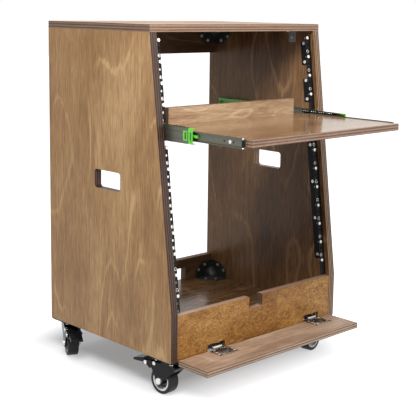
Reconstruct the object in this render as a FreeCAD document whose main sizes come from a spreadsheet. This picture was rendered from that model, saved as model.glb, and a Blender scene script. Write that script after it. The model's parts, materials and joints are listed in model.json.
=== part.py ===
# Rolling studio rack stand of stained plywood, 12 rack units, with a pull-out shelf,
# a fold-down front flap and four braked swivel casters.
# Millimetres. X to the right, Y to the back, Z up. The origin lies on the floor,
# midway between the pulled-out shelf's front edge and the cabinet's back.
import FreeCAD
import Part
import Sketcher
import os
import re

QUARTER_TURN = 90.0
SCRATCH_CELL = "D1"

SIZES = {
    # cabinet boards
    "body_width": 526.0,
    "ply": 18.0,
    "depth_bottom": 430.0,
    "depth_top": 356.0,
    "side_height": 683.5,
    "knee_height": 101.5,
    "top_thick": 16.0,
    "top_rounding": 1.2,
    "handle_length": 89.0,
    "handle_height": 41.0,
    "handle_rounding": 7.0,
    "handle_from_back": 171.5,
    "handle_from_bottom": 339.5,
    "kick_thick": 16.0,
    "kick_height": 99.5,
    "kick_setback": 1.0,
    "notch_width": 42.0,
    "notch_deep": 28.0,
    "notch_rounding": 8.0,
    "notch_offset": 10.0,
    "back_rail_top": 65.0,
    "back_rail_low": 59.0,
    "cable_slot_width": 300.0,
    "cable_slot_high": 36.0,
    # corner brackets, angle brackets and their screws
    "bracket_leg": 57.0,
    "bracket_corner": 32.0,
    "bracket_high": 42.0,
    "bracket_cheek": 24.0,
    "bracket_thick": 2.0,
    "bracket_bulge": 25.0,
    "bracket_screw_near": 27.0,
    "bracket_screw_far": 46.0,
    "bracket_screw_out": 50.0,
    "bracket_screw_high": 33.0,
    "bracket_screw_low": 22.0,
    "angle_leg": 28.0,
    "angle_wide": 22.0,
    "angle_thick": 2.0,
    "angle_from_front": 54.0,
    "angle_screw_out": 17.0,
    "wood_head_radius": 3.8,
    "wood_head_high": 1.8,
    "wood_shank_radius": 1.9,
    "wood_shank_long": 13.0,
    # rack rails
    "rack_unit": 44.45,
    "hole_first": 6.35,
    "hole_step": 15.875,
    "upper_units": 4.0,
    "lower_units": 8.0,
    "slide_units": 1.0,
    "rail_top_gap": 9.0,
    "rail_trim": 2.1,
    "rail_trim_low": 3.0,
    "rail_setback": 11.3,
    "rail_thick": 2.0,
    "rail_face": 17.0,
    "rail_flange": 29.5,
    "rail_web": 6.0,
    "wing_high": 55.0,
    "wing_first": 20.4,
    "lower_flange_from": 40.0,
    "rail_screw_back": 19.2,
    "rail_screw_low": 49.8,
    "rail_hole_radius": 2.75,
    "rail_hole_in": 4.5,
    "upper_screw_low": 26.9,
    "rack_head_radius": 3.6,
    "rack_head_high": 2.4,
    "rack_shank_long": 4.6,
    # shelf and its slides
    "shelf_reach": 192.0,
    "shelf_thick": 15.0,
    "shelf_bottom": 557.0,
    "shelf_deep": 298.0,
    "back_board_high": 36.5,
    "back_board_thick": 16.0,
    "back_board_width": 396.0,
    "back_board_in": 2.0,
    "back_board_seat": 1.0,
    "shelf_travel": 240.0,
    "slide_depth": 12.7,
    "slide_centre": 563.4,
    "slide_sheet": 1.4,
    "outer_high": 36.8,
    "outer_long": 325.0,
    "outer_lip": 10.0,
    "outer_from_back": 51.0,
    "middle_high": 32.4,
    "middle_long": 250.0,
    "middle_reach": 76.0,
    "middle_start": 2.9,
    "middle_lip": 8.6,
    "groove_out": 7.4,
    "groove_wide": 2.0,
    "groove_deep": 0.6,
    "inner_high": 20.0,
    "inner_long": 240.5,
    "inner_lip": 6.6,
    "inner_from_edge": 17.5,
    "slot_radius": 2.4,
    "slot_behind": 17.0,
    "slot_ahead": 8.5,
    "slide_head_high": 1.2,
    "cage_long": 97.0,
    "cage_sheet": 0.8,
    "cage_clear": 0.3,
    "cage_out": 7.5,
    "cage_from_front": 17.0,
    "ball_radius": 1.9,
    "ball_count": 12.0,
    "clip_long": 13.0,
    "clip_lobe_long": 14.0,
    "clip_lobe_high": 20.0,
    "clip_lobe_thick": 1.0,
    "guide_long": 96.0,
    "guide_high": 32.0,
    "guide_thick": 1.2,
    "guide_cap": 4.2,
    "guide_apron": 1.8,
    "guide_end": 3.0,
    "lever_half": 7.2,
    "lever_back": 4.6,
    "lever_reach": 33.0,
    "lever_nose": 2.8,
    "lever_neck": 21.0,
    "lever_thick": 2.4,
    "lever_gap": 0.6,
    "lever_tab": 6.0,
    "lever_tab_high": 5.6,
    "lever_from_edge": 180.0,
    "lever_pin_radius": 2.0,
    "lever_pin_head": 3.4,
    "lever_pin_head_high": 1.1,
    "lever_pin_gap": 0.3,
    "fit": 0.05,
    # flap and its cup hinges
    "flap_width": 488.0,
    "flap_deep": 88.0,
    "flap_thick": 12.5,
    "flap_gap": 4.4,
    "flap_top": 88.0,
    "pin_above_flap": 4.0,
    "pin_behind_flap": 3.0,
    "pin_radius": 2.0,
    "hinge_left": 131.0,
    "hinge_right": 181.0,
    "pocket_width": 52.0,
    "pocket_high": 17.5,
    "cup_radius": 17.5,
    "cup_deep": 10.0,
    "cup_wall": 1.2,
    "cup_from_edge": 22.0,
    "flange_thick": 1.2,
    "flange_wide": 54.0,
    "flange_deep": 36.0,
    "flange_from_edge": 4.0,
    "cup_ring_radius": 19.0,
    "cup_ring_high": 3.4,
    "cup_pad_from": 19.4,
    "cup_pad_deep": 15.0,
    "cup_pad_high": 2.6,
    "cup_screw_head": 3.5,
    "cup_screw_out": 22.9,
    "cup_screw_long": 10.0,
    "link_wide": 20.0,
    "link_long": 10.0,
    "link_thick": 2.8,
    "knuckle_radius": 3.4,
    "ear_thick": 3.0,
    "ear_gap": 0.3,
    "ear_radius": 3.6,
    "arm_wide": 46.0,
    "arm_high": 14.0,
    "arm_thick": 2.5,
    "arm_low": 2.0,
    "arm_screw_out": 18.0,
    # casters
    "caster_high": 84.0,
    "plate_side": 60.0,
    "plate_thick": 3.0,
    "plate_edge": 1.0,
    "plate_hole_in": 7.0,
    "race_radius": 20.0,
    "race_thick": 3.6,
    "race_gap": 0.5,
    "kingpin_radius": 5.0,
    "kingpin_head": 9.0,
    "kingpin_head_high": 3.0,
    "fork_bridge": 5.0,
    "fork_radius": 18.0,
    "fork_sheet": 2.5,
    "fork_inside": 29.0,
    "fork_shoulder": 12.0,
    "fork_nose_out": 27.0,
    "fork_nose_high": 68.0,
    "fork_nose_low": 56.0,
    "fork_nose_in": 16.0,
    "fork_nose_sheet": 4.0,
    "fork_arm_top": 67.5,
    "fork_arm_low": 57.5,
    "fork_arm_root": 48.0,
    "trail": 22.0,
    "wheel_radius": 30.0,
    "tyre_width": 26.0,
    "tyre_wall": 7.0,
    "tyre_rounding": 3.0,
    "hub_boss_radius": 9.0,
    "hub_web": 8.0,
    "hub_rim": 4.0,
    "hub_set_in": 1.0,
    "boss_gap": 0.3,
    "axle_radius": 4.0,
    "axle_head_radius": 7.0,
    "axle_head_high": 4.0,
    "axle_boss_radius": 10.5,
    "brake_pin_y": 37.0,
    "brake_pin_z": 66.0,
    "brake_rivet_y": 64.0,
    "brake_rivet_z": 62.0,
    "brake_pin_radius": 2.5,
    "brake_pin_head": 4.2,
    "brake_pin_head_high": 1.8,
    "brake_arm_end": 72.0,
    "pedal_heel": 31.0,
    "pedal_heel_top": 70.5,
    "pedal_heel_low": 61.5,
    "pedal_throat": 40.0,
    "pedal_throat_low": 60.0,
    "shoe_near": 48.0,
    "shoe_near_low": 52.0,
    "shoe_far": 56.0,
    "shoe_far_low": 50.0,
    "pedal_waist": 70.0,
    "pedal_waist_low": 59.5,
    "pedal_back": 76.0,
    "pedal_back_top": 69.0,
    "pedal_tip": 105.0,
    "pedal_tip_top": 61.5,
    "pedal_tip_low": 57.0,
    "pedal_sole": 97.0,
    "brake_width": 27.6,
    "caster_screw_head": 4.4,
    "caster_screw_head_high": 2.8,
    "caster_screw_radius": 2.5,
    "caster_screw_long": 16.0,
    "swivel_front_left": 4.0,
    "swivel_front_right": 98.0,
    "swivel_rear_left": 153.0,
    "swivel_rear_right": 205.0,
    "overrun": 5.0,
}

# Where the screws sit along each slide, as shares of its own length.
OUTER_SCREW_SHARES = (0.22, 0.44, 0.66)
INNER_SCREW_SHARES = (0.166, 0.753, 0.918)

document = FreeCAD.newDocument("studio_rack_stand")
sheet = document.addObject("Spreadsheet::Sheet", "Sizes")
for row, (alias, number) in enumerate(SIZES.items(), start=1):
    sheet.set("A%d" % row, alias)
    sheet.set("B%d" % row, repr(number))
    sheet.setAlias("B%d" % row, alias)
document.recompute()

# Places that many pieces share, as expressions of the sheet's values.
FRONT = "((shelf_reach - depth_bottom) / 2)"
BACK = "((shelf_reach + depth_bottom) / 2)"
INNER = "(body_width / 2 - ply)"
SIDE_TOP = "(caster_high + side_height)"
FLOOR_TOP = "(caster_high + ply)"
KICK_FACE = "(%s + kick_setback)" % FRONT
SLOPE_RUN = "(depth_bottom - depth_top)"
SLOPE_RISE = "(side_height - knee_height)"
SLOPE_LENGTH = "sqrt(%s * %s + %s * %s)" % (SLOPE_RUN, SLOPE_RUN, SLOPE_RISE, SLOPE_RISE)
SLOPE_ANGLE = "atan(%s / %s)" % (SLOPE_RUN, SLOPE_RISE)
SHELF_FRONT = "(%s - shelf_reach)" % FRONT
SHELF_HALF = "(%s - slide_depth)" % INNER
PIN_Y = "(%s - flap_gap + pin_above_flap)" % KICK_FACE
PIN_Z = "(flap_top + pin_above_flap)"

exports = []
words = re.compile(r"[A-Za-z_][A-Za-z_0-9]*")


def formula(text):
    """Write the sheet's name before each of its values in an expression."""
    return words.sub(lambda found: "Sizes." + found.group() if found.group() in SIZES else found.group(), text)


def value(text):
    """The number that an expression of the sheet's values has now."""
    sheet.set(SCRATCH_CELL, "=" + text)
    sheet.recompute()
    number = sheet.get(SCRATCH_CELL)
    return float(getattr(number, "Value", number))


def bind(thing, field, text):
    """Tie one property of an object to an expression."""
    thing.setExpression(field, formula(text))


def place(thing, at, turn=None):
    """Put an object at three expressions, turned about an axis by an expression."""
    if turn is not None:
        axis, angle = turn
        thing.Placement = FreeCAD.Placement(FreeCAD.Vector(), FreeCAD.Rotation(FreeCAD.Vector(*axis), 1))
        bind(thing, "Placement.Rotation.Angle", angle)
    for letter, text in zip("xyz", at):
        bind(thing, "Placement.Base.%s" % letter, text)
    return thing


def box(name, size, at):
    """A block with its lowest corner at a place."""
    block = document.addObject("Part::Box", name)
    for field, text in zip(("Length", "Width", "Height"), size):
        bind(block, field, text)
    return place(block, at)


def cylinder(name, radius, length, at, along="z"):
    """A round bar that runs from a place along an axis."""
    bar = document.addObject("Part::Cylinder", name)
    bind(bar, "Radius", radius)
    bind(bar, "Height", length)
    if along == "x":
        bar.Placement.Rotation = FreeCAD.Rotation(FreeCAD.Vector(0, 1, 0), QUARTER_TURN)
    if along == "y":
        bar.Placement.Rotation = FreeCAD.Rotation(FreeCAD.Vector(1, 0, 0), -QUARTER_TURN)
    return place(bar, at)


def joined(name, pieces):
    """One solid from pieces that meet."""
    union = document.addObject("Part::MultiFuse", name)
    union.Shapes = pieces
    union.Refine = True
    return union


def cut(name, base, tools):
    """A piece with other shapes taken away."""
    tool = tools[0]
    if len(tools) > 1:
        tool = document.addObject("Part::Compound", name + "_cutters")
        tool.Links = tools
    rest = document.addObject("Part::Cut", name)
    rest.Base = base
    rest.Tool = tool
    return rest


def group(name, pieces):
    """Separate solids that share one node."""
    bundle = document.addObject("Part::Compound", name)
    bundle.Links = pieces
    return bundle


def export(thing, label):
    """Give a finished piece the name of its file."""
    thing.Label = label
    exports.append(thing)
    return thing


def plane_of(body, role):
    """One of a body's own origin planes."""
    for feature in body.Origin.OriginFeatures:
        if feature.Role == role:
            return feature
    raise ValueError(role)


def new_body(name):
    """An empty body."""
    return document.addObject("PartDesign::Body", name)


def outline(body, name, role, points):
    """A closed outline of straight lines on a body's plane, its corners tied to expressions."""
    sketch = body.newObject("Sketcher::SketchObject", name)
    sketch.AttachmentSupport = [(plane_of(body, role), "")]
    sketch.MapMode = "FlatFace"
    corners = [FreeCAD.Vector(value(x), value(y), 0) for x, y in points]
    count = len(corners)
    for index in range(count):
        sketch.addGeometry(Part.LineSegment(corners[index], corners[(index + 1) % count]), False)
    for index in range(count):
        sketch.addConstraint(Sketcher.Constraint("Coincident", index, 2, (index + 1) % count, 1))
    for index, point in enumerate(points):
        for axis, kind, text in ((-2, "DistanceX", point[0]), (-1, "DistanceY", point[1])):
            if text == "0":
                sketch.addConstraint(Sketcher.Constraint("PointOnObject", index, 1, axis))
            else:
                number = sketch.addConstraint(Sketcher.Constraint(kind, -1, 1, index, 1, value(text)))
                sketch.setExpression("Constraints[%d]" % number, formula(text))
    return sketch


def rounds(body, name, role, circles):
    """Circles on a body's plane: each a radius and a centre."""
    sketch = body.newObject("Sketcher::SketchObject", name)
    sketch.AttachmentSupport = [(plane_of(body, role), "")]
    sketch.MapMode = "FlatFace"
    for index, (radius, x, y) in enumerate(circles):
        centre = FreeCAD.Vector(value(x), value(y), 0)
        sketch.addGeometry(Part.Circle(centre, FreeCAD.Vector(0, 0, 1), value(radius)), False)
        number = sketch.addConstraint(Sketcher.Constraint("Radius", index, value(radius)))
        sketch.setExpression("Constraints[%d]" % number, formula(radius))
        for axis, kind, text in ((-2, "DistanceX", x), (-1, "DistanceY", y)):
            if text == "0":
                sketch.addConstraint(Sketcher.Constraint("PointOnObject", index, 3, axis))
            else:
                number = sketch.addConstraint(Sketcher.Constraint(kind, -1, 1, index, 3, value(text)))
                sketch.setExpression("Constraints[%d]" % number, formula(text))
    return sketch


def pad(body, sketch, length, reverse=False, middle=False):
    """Raise a sketch into a solid."""
    feature = body.newObject("PartDesign::Pad", sketch.Name + "_pad")
    feature.Profile = sketch
    bind(feature, "Length", length)
    feature.Reversed = reverse
    feature.Midplane = middle
    sketch.Visibility = False
    return feature


def pocket(body, sketch, reverse=False, middle=False):
    """Cut a sketch right through a body."""
    feature = body.newObject("PartDesign::Pocket", sketch.Name + "_cut")
    feature.Profile = sketch
    feature.Type = "ThroughAll"
    feature.Reversed = reverse
    feature.Midplane = middle
    return feature


def repeat(body, feature, along, length, count):
    """Copies of a feature in a row along one of the body's axes."""
    pattern = body.newObject("PartDesign::LinearPattern", feature.Name + "_row")
    pattern.Originals = [feature]
    pattern.Direction = (plane_of(body, along), [""])
    bind(pattern, "Length", length)
    bind(pattern, "Occurrences", count)
    body.Tip = pattern
    return pattern


def round_edges(body, radius, chosen):
    """Round the edges of a body's tip that a test picks."""
    document.recompute()
    tip = body.Tip
    names = ["Edge%d" % number for number, edge in enumerate(tip.Shape.Edges, start=1) if chosen(edge)]
    fillet = body.newObject("PartDesign::Fillet", body.Name + "_rounding")
    fillet.Base = (tip, names)
    bind(fillet, "Radius", radius)
    return fillet


def runs_along(edge, axis):
    """Whether an edge is straight and lies along an axis."""
    if len(edge.Vertexes) < 2:
        return False
    way = edge.Vertexes[-1].Point - edge.Vertexes[0].Point
    return way.Length > 0 and abs(abs(way.normalize().dot(FreeCAD.Vector(*axis))) - 1) < 1e-6


def screw(name, head, head_high, shank, shank_long, at, along, sign):
    """A screw whose head rests at a place and whose shank runs on from it."""
    step = {"x": 0, "y": 1, "z": 2}[along]
    head_at = list(at)
    shank_at = list(at)
    if sign > 0:
        head_at[step] = "%s - %s" % (at[step], head_high)
    else:
        shank_at[step] = "%s - (%s)" % (at[step], shank_long)
    top = cylinder(name + "_head", head, head_high, head_at, along)
    bar = cylinder(name + "_shank", shank, shank_long, shank_at, along)
    whole = joined(name, [top, bar])
    return whole, bar


wood_screws = []
holes = {}


def wood_screw(name, at, along, sign, boards):
    """One of the identical wood screws, with the boards that it is driven into."""
    whole, bar = screw(name, "wood_head_radius", "wood_head_high", "wood_shank_radius",
                       "wood_shank_long", at, along, sign)
    wood_screws.append(whole)
    for board in boards:
        holes.setdefault(board, []).append(bar)
    return bar


# Side panels: slanted front edge above the knee, and a hand hole.
def side_board(side):
    body = new_body("side_board_" + side)
    shape = outline(body, "side_outline_" + side, "YZ_Plane", [
        ("0", "0"), ("depth_bottom", "0"), ("depth_bottom", "side_height"),
        (SLOPE_RUN, "side_height"), ("0", "knee_height")])
    pad(body, shape, "ply")
    far = "depth_bottom - handle_from_back"
    near = far + " - handle_length"
    top = "handle_from_bottom + handle_height"
    slot = outline(body, "handle_outline_" + side, "YZ_Plane", [
        (near, "handle_from_bottom"), (far, "handle_from_bottom"), (far, top), (near, top)])
    pocket(body, slot, reverse=True)
    low = value("handle_from_bottom - overrun")
    high = value(top + " + overrun")
    round_edges(body, "handle_rounding",
                lambda edge: runs_along(edge, (1, 0, 0)) and low < edge.CenterOfMass.z < high)
    x = "-body_width / 2" if side == "left" else INNER
    place(body, (x, FRONT, "caster_high"))
    return body


# Kick board: a fixed front board with a finger notch in its top edge and a pocket for each hinge.
def kick_board():
    body = new_body("kick")
    half = INNER
    left_in = "%s - hinge_left - pocket_width / 2" % half
    right_in = "%s + hinge_right - pocket_width / 2" % half
    notch_in = "%s - notch_offset - notch_width / 2" % half
    notch_floor = "kick_height - notch_deep"
    shape = outline(body, "kick_outline", "XZ_Plane", [
        ("0", "0"), (left_in, "0"), (left_in, "pocket_high"),
        (left_in + " + pocket_width", "pocket_high"), (left_in + " + pocket_width", "0"),
        (right_in, "0"), (right_in, "pocket_high"),
        (right_in + " + pocket_width", "pocket_high"), (right_in + " + pocket_width", "0"),
        ("2 * " + half, "0"), ("2 * " + half, "kick_height"),
        (notch_in + " + notch_width", "kick_height"), (notch_in + " + notch_width", notch_floor),
        (notch_in, notch_floor), (notch_in, "kick_height"), ("0", "kick_height")])
    pad(body, shape, "kick_thick")
    floor_level = value(notch_floor)
    slack = value("overrun")
    round_edges(body, "notch_rounding",
                lambda edge: runs_along(edge, (0, 1, 0)) and abs(edge.CenterOfMass.z - floor_level) < slack)
    place(body, ("-" + half, KICK_FACE + " + kick_thick", "caster_high"))
    return body


# Lower back rail: it stands on the bottom panel and has a cable slot that is open below.
def back_rail_low():
    body = new_body("back_rail_low_board")
    near = "%s - cable_slot_width / 2" % INNER
    far = "%s + cable_slot_width / 2" % INNER
    shape = outline(body, "back_rail_low_outline", "XZ_Plane", [
        ("0", "0"), (near, "0"), (near, "cable_slot_high"), (far, "cable_slot_high"), (far, "0"),
        ("2 * " + INNER, "0"), ("2 * " + INNER, "back_rail_low"), ("0", "back_rail_low")])
    pad(body, shape, "ply")
    place(body, ("-" + INNER, BACK, FLOOR_TOP))
    return body


# Top panel, with its outer edges eased.
def top_board():
    body = new_body("top_board")
    shape = outline(body, "top_outline", "XY_Plane", [
        ("0", "0"), ("body_width", "0"), ("body_width", "depth_top"), ("0", "depth_top")])
    pad(body, shape, "top_thick")
    level = value("top_thick")
    round_edges(body, "top_rounding", lambda edge: abs(edge.CenterOfMass.z - level) < 1e-6)
    place(body, ("-body_width / 2", BACK + " - depth_top", SIDE_TOP))
    return body


boards = {
    "side_panel_left": side_board("left"),
    "side_panel_right": side_board("right"),
    "top_panel": top_board(),
    "bottom_panel": box("bottom_board", ("2 * " + INNER, "depth_bottom - kick_setback - kick_thick", "ply"),
                        ("-" + INNER, KICK_FACE + " + kick_thick", "caster_high")),
    "rear_top_rail": box("back_rail_top_board", ("2 * " + INNER, "ply", "back_rail_top"),
                         ("-" + INNER, BACK + " - ply", SIDE_TOP + " - back_rail_top")),
    "rear_bottom_rail": back_rail_low(),
    "kick_board": kick_board(),
}


# Corner brackets: three pressed wings around a round bulge, in each back corner of the cabinet.
# The wing on the panel below or above is square, and the two upright wings are lower than they are long.
def corner_bracket(side, level):
    name = "bracket_%s_%s" % (level, side)
    body = new_body(name)
    flat = [("0", "0"), ("bracket_leg", "0"), ("bracket_leg", "bracket_corner"),
            ("bracket_corner", "bracket_leg"), ("0", "bracket_leg")]
    upright = [("0", "0"), ("bracket_leg", "0"), ("bracket_leg", "bracket_cheek"),
               ("bracket_corner", "bracket_high"), ("0", "bracket_high")]
    for number, (role, corners) in enumerate((("XY_Plane", flat), ("YZ_Plane", upright), ("XZ_Plane", upright))):
        wing = outline(body, "%s_wing_%d" % (name, number), role, corners)
        pad(body, wing, "bracket_thick", reverse=(role == "XZ_Plane"))
    bulge = document.addObject("Part::Sphere", name + "_bulge")
    bind(bulge, "Radius", "bracket_bulge")
    bulge.Angle1 = 0
    bulge.Angle2 = QUARTER_TURN
    bulge.Angle3 = QUARTER_TURN
    return joined(name + "_pressed", [body, bulge])


# Each back corner: side, level, signs, and the turn that sends the drawn wings inwards and forwards.
bracket_corners = [
    ("left", "low", 1, 1, (0, 0, 1), -QUARTER_TURN),
    ("left", "top", 1, -1, (1, 0, 0), 2 * QUARTER_TURN),
    ("right", "low", -1, 1, (0, 0, 1), 2 * QUARTER_TURN),
    ("right", "top", -1, -1, (1, -1, 0), 2 * QUARTER_TURN),
]
corner_brackets = []
for side, level, across, upward, axis, angle in bracket_corners:
    wall = "-" + INNER if side == "left" else INNER
    floor = FLOOR_TOP if level == "low" else SIDE_TOP
    back = BACK + " - ply"
    bracket = corner_bracket(side, level)
    bracket.Placement = FreeCAD.Placement(FreeCAD.Vector(), FreeCAD.Rotation(FreeCAD.Vector(*axis), angle))
    place(bracket, (wall, back, floor))
    in_x = "+" if across > 0 else "-"
    in_z = "+" if upward > 0 else "-"
    side_name = "side_panel_" + side
    back_name = "rear_bottom_rail" if level == "low" else "rear_top_rail"
    flat_name = "bottom_panel" if level == "low" else "top_panel"
    bars = []
    for number, (first, second, out, rise) in enumerate((
            ("near", "far", "near", "high"), ("far", "near", "out", "low"))):
        a = "bracket_screw_" + first
        b = "bracket_screw_" + second
        c = "bracket_screw_" + out
        d = "bracket_screw_" + rise
        tag = "bracket_screw_%s_%s_%d" % (level, side, number)
        bars.append(wood_screw(tag + "_side", (
            "%s %s bracket_thick" % (wall, in_x), "%s - %s" % (back, c), "%s %s %s" % (floor, in_z, d)),
            "x", -across, [side_name]))
        bars.append(wood_screw(tag + "_back", (
            "%s %s %s" % (wall, in_x, c), "%s - bracket_thick" % back, "%s %s %s" % (floor, in_z, d)),
            "y", 1, [back_name]))
        bars.append(wood_screw(tag + "_flat", (
            "%s %s %s" % (wall, in_x, a), "%s - %s" % (back, b), "%s %s bracket_thick" % (floor, in_z)),
            "z", -upward, [flat_name]))
    corner_brackets.append(cut("drilled_%s_%s" % (level, side), bracket, bars))
export(group("corner_brackets", corner_brackets), "corner_brackets")


# Two small angle brackets that hold the top panel near its front corners.
angle_brackets = []
for side, across in (("left", 1), ("right", -1)):
    wall = "-" + INNER if side == "left" else INNER
    sign = "+" if across > 0 else "-"
    flat_x = wall if across > 0 else wall + " - angle_leg"
    leg_x = wall if across > 0 else wall + " - angle_thick"
    y = "%s - depth_top + angle_from_front" % BACK
    leg = box("angle_leg_" + side, ("angle_thick", "angle_wide", "angle_leg"), (leg_x, y, SIDE_TOP + " - angle_leg"))
    flat = box("angle_flat_" + side, ("angle_leg", "angle_wide", "angle_thick"), (flat_x, y, SIDE_TOP + " - angle_thick"))
    middle = y + " + angle_wide / 2"
    bars = [
        wood_screw("angle_screw_side_" + side, (
            "%s %s angle_thick" % (wall, sign), middle, SIDE_TOP + " - angle_screw_out"),
            "x", -across, ["side_panel_" + side]),
        wood_screw("angle_screw_top_" + side, (
            "%s %s angle_screw_out" % (wall, sign), middle, SIDE_TOP + " - angle_thick"),
            "z", 1, ["top_panel"])]
    angle_brackets.append(cut("angle_drilled_" + side, joined("angle_bracket_" + side, [leg, flat]), bars))
export(group("angle_brackets", angle_brackets), "angle_brackets")


# Places along the slanted front edges, measured back from the edge and up from the knee.
def on_slope(back, up):
    """The Y and Z of such a place."""
    y = "%s + ((%s) * %s + (%s) * %s) / %s" % (FRONT, up, SLOPE_RUN, back, SLOPE_RISE, SLOPE_LENGTH)
    z = "caster_high + knee_height + ((%s) * %s - (%s) * %s) / %s" % (
        up, SLOPE_RISE, back, SLOPE_RUN, SLOPE_LENGTH)
    return y, z


def inwards(side, text):
    """A distance from a side panel's inner face towards the middle, as a signed X."""
    return text if side == "left" else "-(%s)" % text


def wall_of(side):
    """The X of a side panel's inner face."""
    return "-" + INNER if side == "left" else INNER


# Rack rails: bent steel with square-cut face holes and a flange that is screwed to the side panel.
RAIL_STARTS = {
    "lower": "(%s - rail_top_gap - (upper_units + slide_units + lower_units) * rack_unit)" % SLOPE_LENGTH,
    "upper": "(%s - rail_top_gap - upper_units * rack_unit)" % SLOPE_LENGTH,
}
rack_screws = []


def rack_rail(side, level):
    """One rail with its face screws and side screws."""
    units = level + "_units"
    trim = "rail_trim_low" if level == "lower" else "rail_trim"
    high = "(%s * rack_unit - %s - rail_trim)" % (units, trim)
    start = "%s + %s" % (RAIL_STARTS[level], trim)
    body = new_body("rail_%s_%s" % (level, side))
    face = inwards(side, "rail_face")
    web = inwards(side, "rail_thick")
    profile = outline(body, "rail_profile_%s_%s" % (level, side), "XY_Plane", [
        ("0", "rail_setback"), (face, "rail_setback"), (face, "rail_setback + rail_thick"),
        (web, "rail_setback + rail_thick"), (web, "rail_setback + rail_flange"),
        ("0", "rail_setback + rail_flange")])
    pad(body, profile, high)
    column = inwards(side, "(rail_face - rail_hole_in)")
    unit_holes = rounds(body, "rail_holes_%s_%s" % (level, side), "XZ_Plane", [
        ("rail_hole_radius", column, "hole_first + %d * hole_step - %s" % (number, trim)) for number in range(3)])
    first = pocket(body, unit_holes)
    repeat(body, first, "Z_Axis", "(%s - 1) * rack_unit" % units, units)
    if level == "upper":
        near = "rail_setback + rail_web"
        edge = "rail_setback + rail_flange + overrun"
        far = "rail_setback + rail_flange + 2 * overrun"
        one = "wing_first - " + trim
        two = one + " + 2 * rack_unit"
        end = high + " + overrun"
        comb = outline(body, "rail_wings_" + side, "YZ_Plane", [
            (near, "-overrun"), (far, "-overrun"), (far, end), (near, end),
            (near, two + " + wing_high"), (edge, two + " + wing_high"), (edge, two), (near, two),
            (near, one + " + wing_high"), (edge, one + " + wing_high"), (edge, one), (near, one)])
        pocket(body, comb, reverse=(side == "left"))
    else:
        near = "rail_setback + rail_web"
        far = "rail_setback + rail_flange + overrun"
        foot = outline(body, "rail_foot_" + side, "YZ_Plane", [
            (near, "-overrun"), (far, "-overrun"), (far, "lower_flange_from - " + trim),
            (near, "lower_flange_from - " + trim)])
        pocket(body, foot, reverse=(side == "left"))
    y, z = on_slope("0", start)
    slope = ((1, 0, 0), "-" + SLOPE_ANGLE)
    place(body, (wall_of(side), y, z), slope)
    face_screws = []
    for number in range(int(SIZES[units])):
        whole, bar = screw("rack_screw_%s_%s_%d" % (level, side, number), "rack_head_radius", "rack_head_high",
                           "rail_hole_radius - fit", "rack_shank_long",
                           (column, "rail_setback", "(%d + 1) * rack_unit - hole_first - %s" % (number, trim)),
                           "y", 1)
        face_screws.append(whole)
    bundle = group("rack_screws_%s_%s" % (level, side), face_screws)
    rack_screws.append(place(bundle, (wall_of(side), y, z), slope))
    across = 1 if side == "left" else -1
    low = "upper_screw_low" if level == "upper" else "rail_screw_low"
    step = 1 if level == "upper" else 2
    bars = []
    for number in range(4):
        up = "%s + %s + %d * rack_unit" % (RAIL_STARTS[level], low, number * step)
        y, z = on_slope("rail_setback + rail_screw_back", up)
        x = "%s + %s" % (wall_of(side), web)
        bars.append(wood_screw("rail_screw_%s_%s_%d" % (level, side, number), (x, y, z),
                               "x", -across, ["side_panel_" + side]))
    export(cut("rail_drilled_%s_%s" % (level, side), body, bars), "rack_rail_%s_%s" % (level, side))


for side in ("left", "right"):
    for level in ("upper", "lower"):
        rack_rail(side, level)
export(group("rack_screw_set", rack_screws), "rack_screws")


# Three-part slides: an outer channel on the side panel, a middle channel, and an inner one on the shelf.
OUTER_FRONT = "(%s - outer_from_back - outer_long)" % BACK
MIDDLE_FRONT = "(%s - middle_reach)" % OUTER_FRONT
INNER_FRONT = "(%s + inner_from_edge)" % SHELF_FRONT
INNER_WEB = "(slide_depth - slide_sheet)"
LEVER_Y = "(%s + lever_from_edge)" % SHELF_FRONT
LEVER_FACE = "(%s - lever_gap - lever_thick)" % INNER_WEB


def channel(name, side, web, sheet_in, lip, high, arm, front, long):
    """A channel along Y: its web at a depth from the side panel, and lips that reach another depth."""
    body = new_body(name)
    half = "%s / 2" % high
    at = [inwards(side, depth) for depth in (web, lip, sheet_in)]
    points = [(at[0], "-" + half), (at[1], "-" + half), (at[1], "-%s + %s" % (half, arm)),
              (at[2], "-%s + %s" % (half, arm)), (at[2], "%s - %s" % (half, arm)),
              (at[1], "%s - %s" % (half, arm)), (at[1], half), (at[0], half)]
    profile = outline(body, name + "_profile", "XZ_Plane", points)
    pad(body, profile, long, reverse=True)
    place(body, (wall_of(side), front, "slide_centre"))
    return body


def across_bar(name, side, radius, near, far, y, z):
    """A round bar along X between two depths from a side panel's inner face."""
    x = "%s + %s" % (wall_of(side), inwards(side, near if side == "left" else far))
    return cylinder(name, radius, "%s - %s" % (far, near), (x, y, z), "x")


def across_box(name, side, near, far, y, deep, z, high):
    """A block between two depths from a side panel's inner face."""
    x = "%s + %s" % (wall_of(side), inwards(side, near if side == "left" else far))
    return box(name, ("%s - %s" % (far, near), deep, high), (x, y, z))


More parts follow.
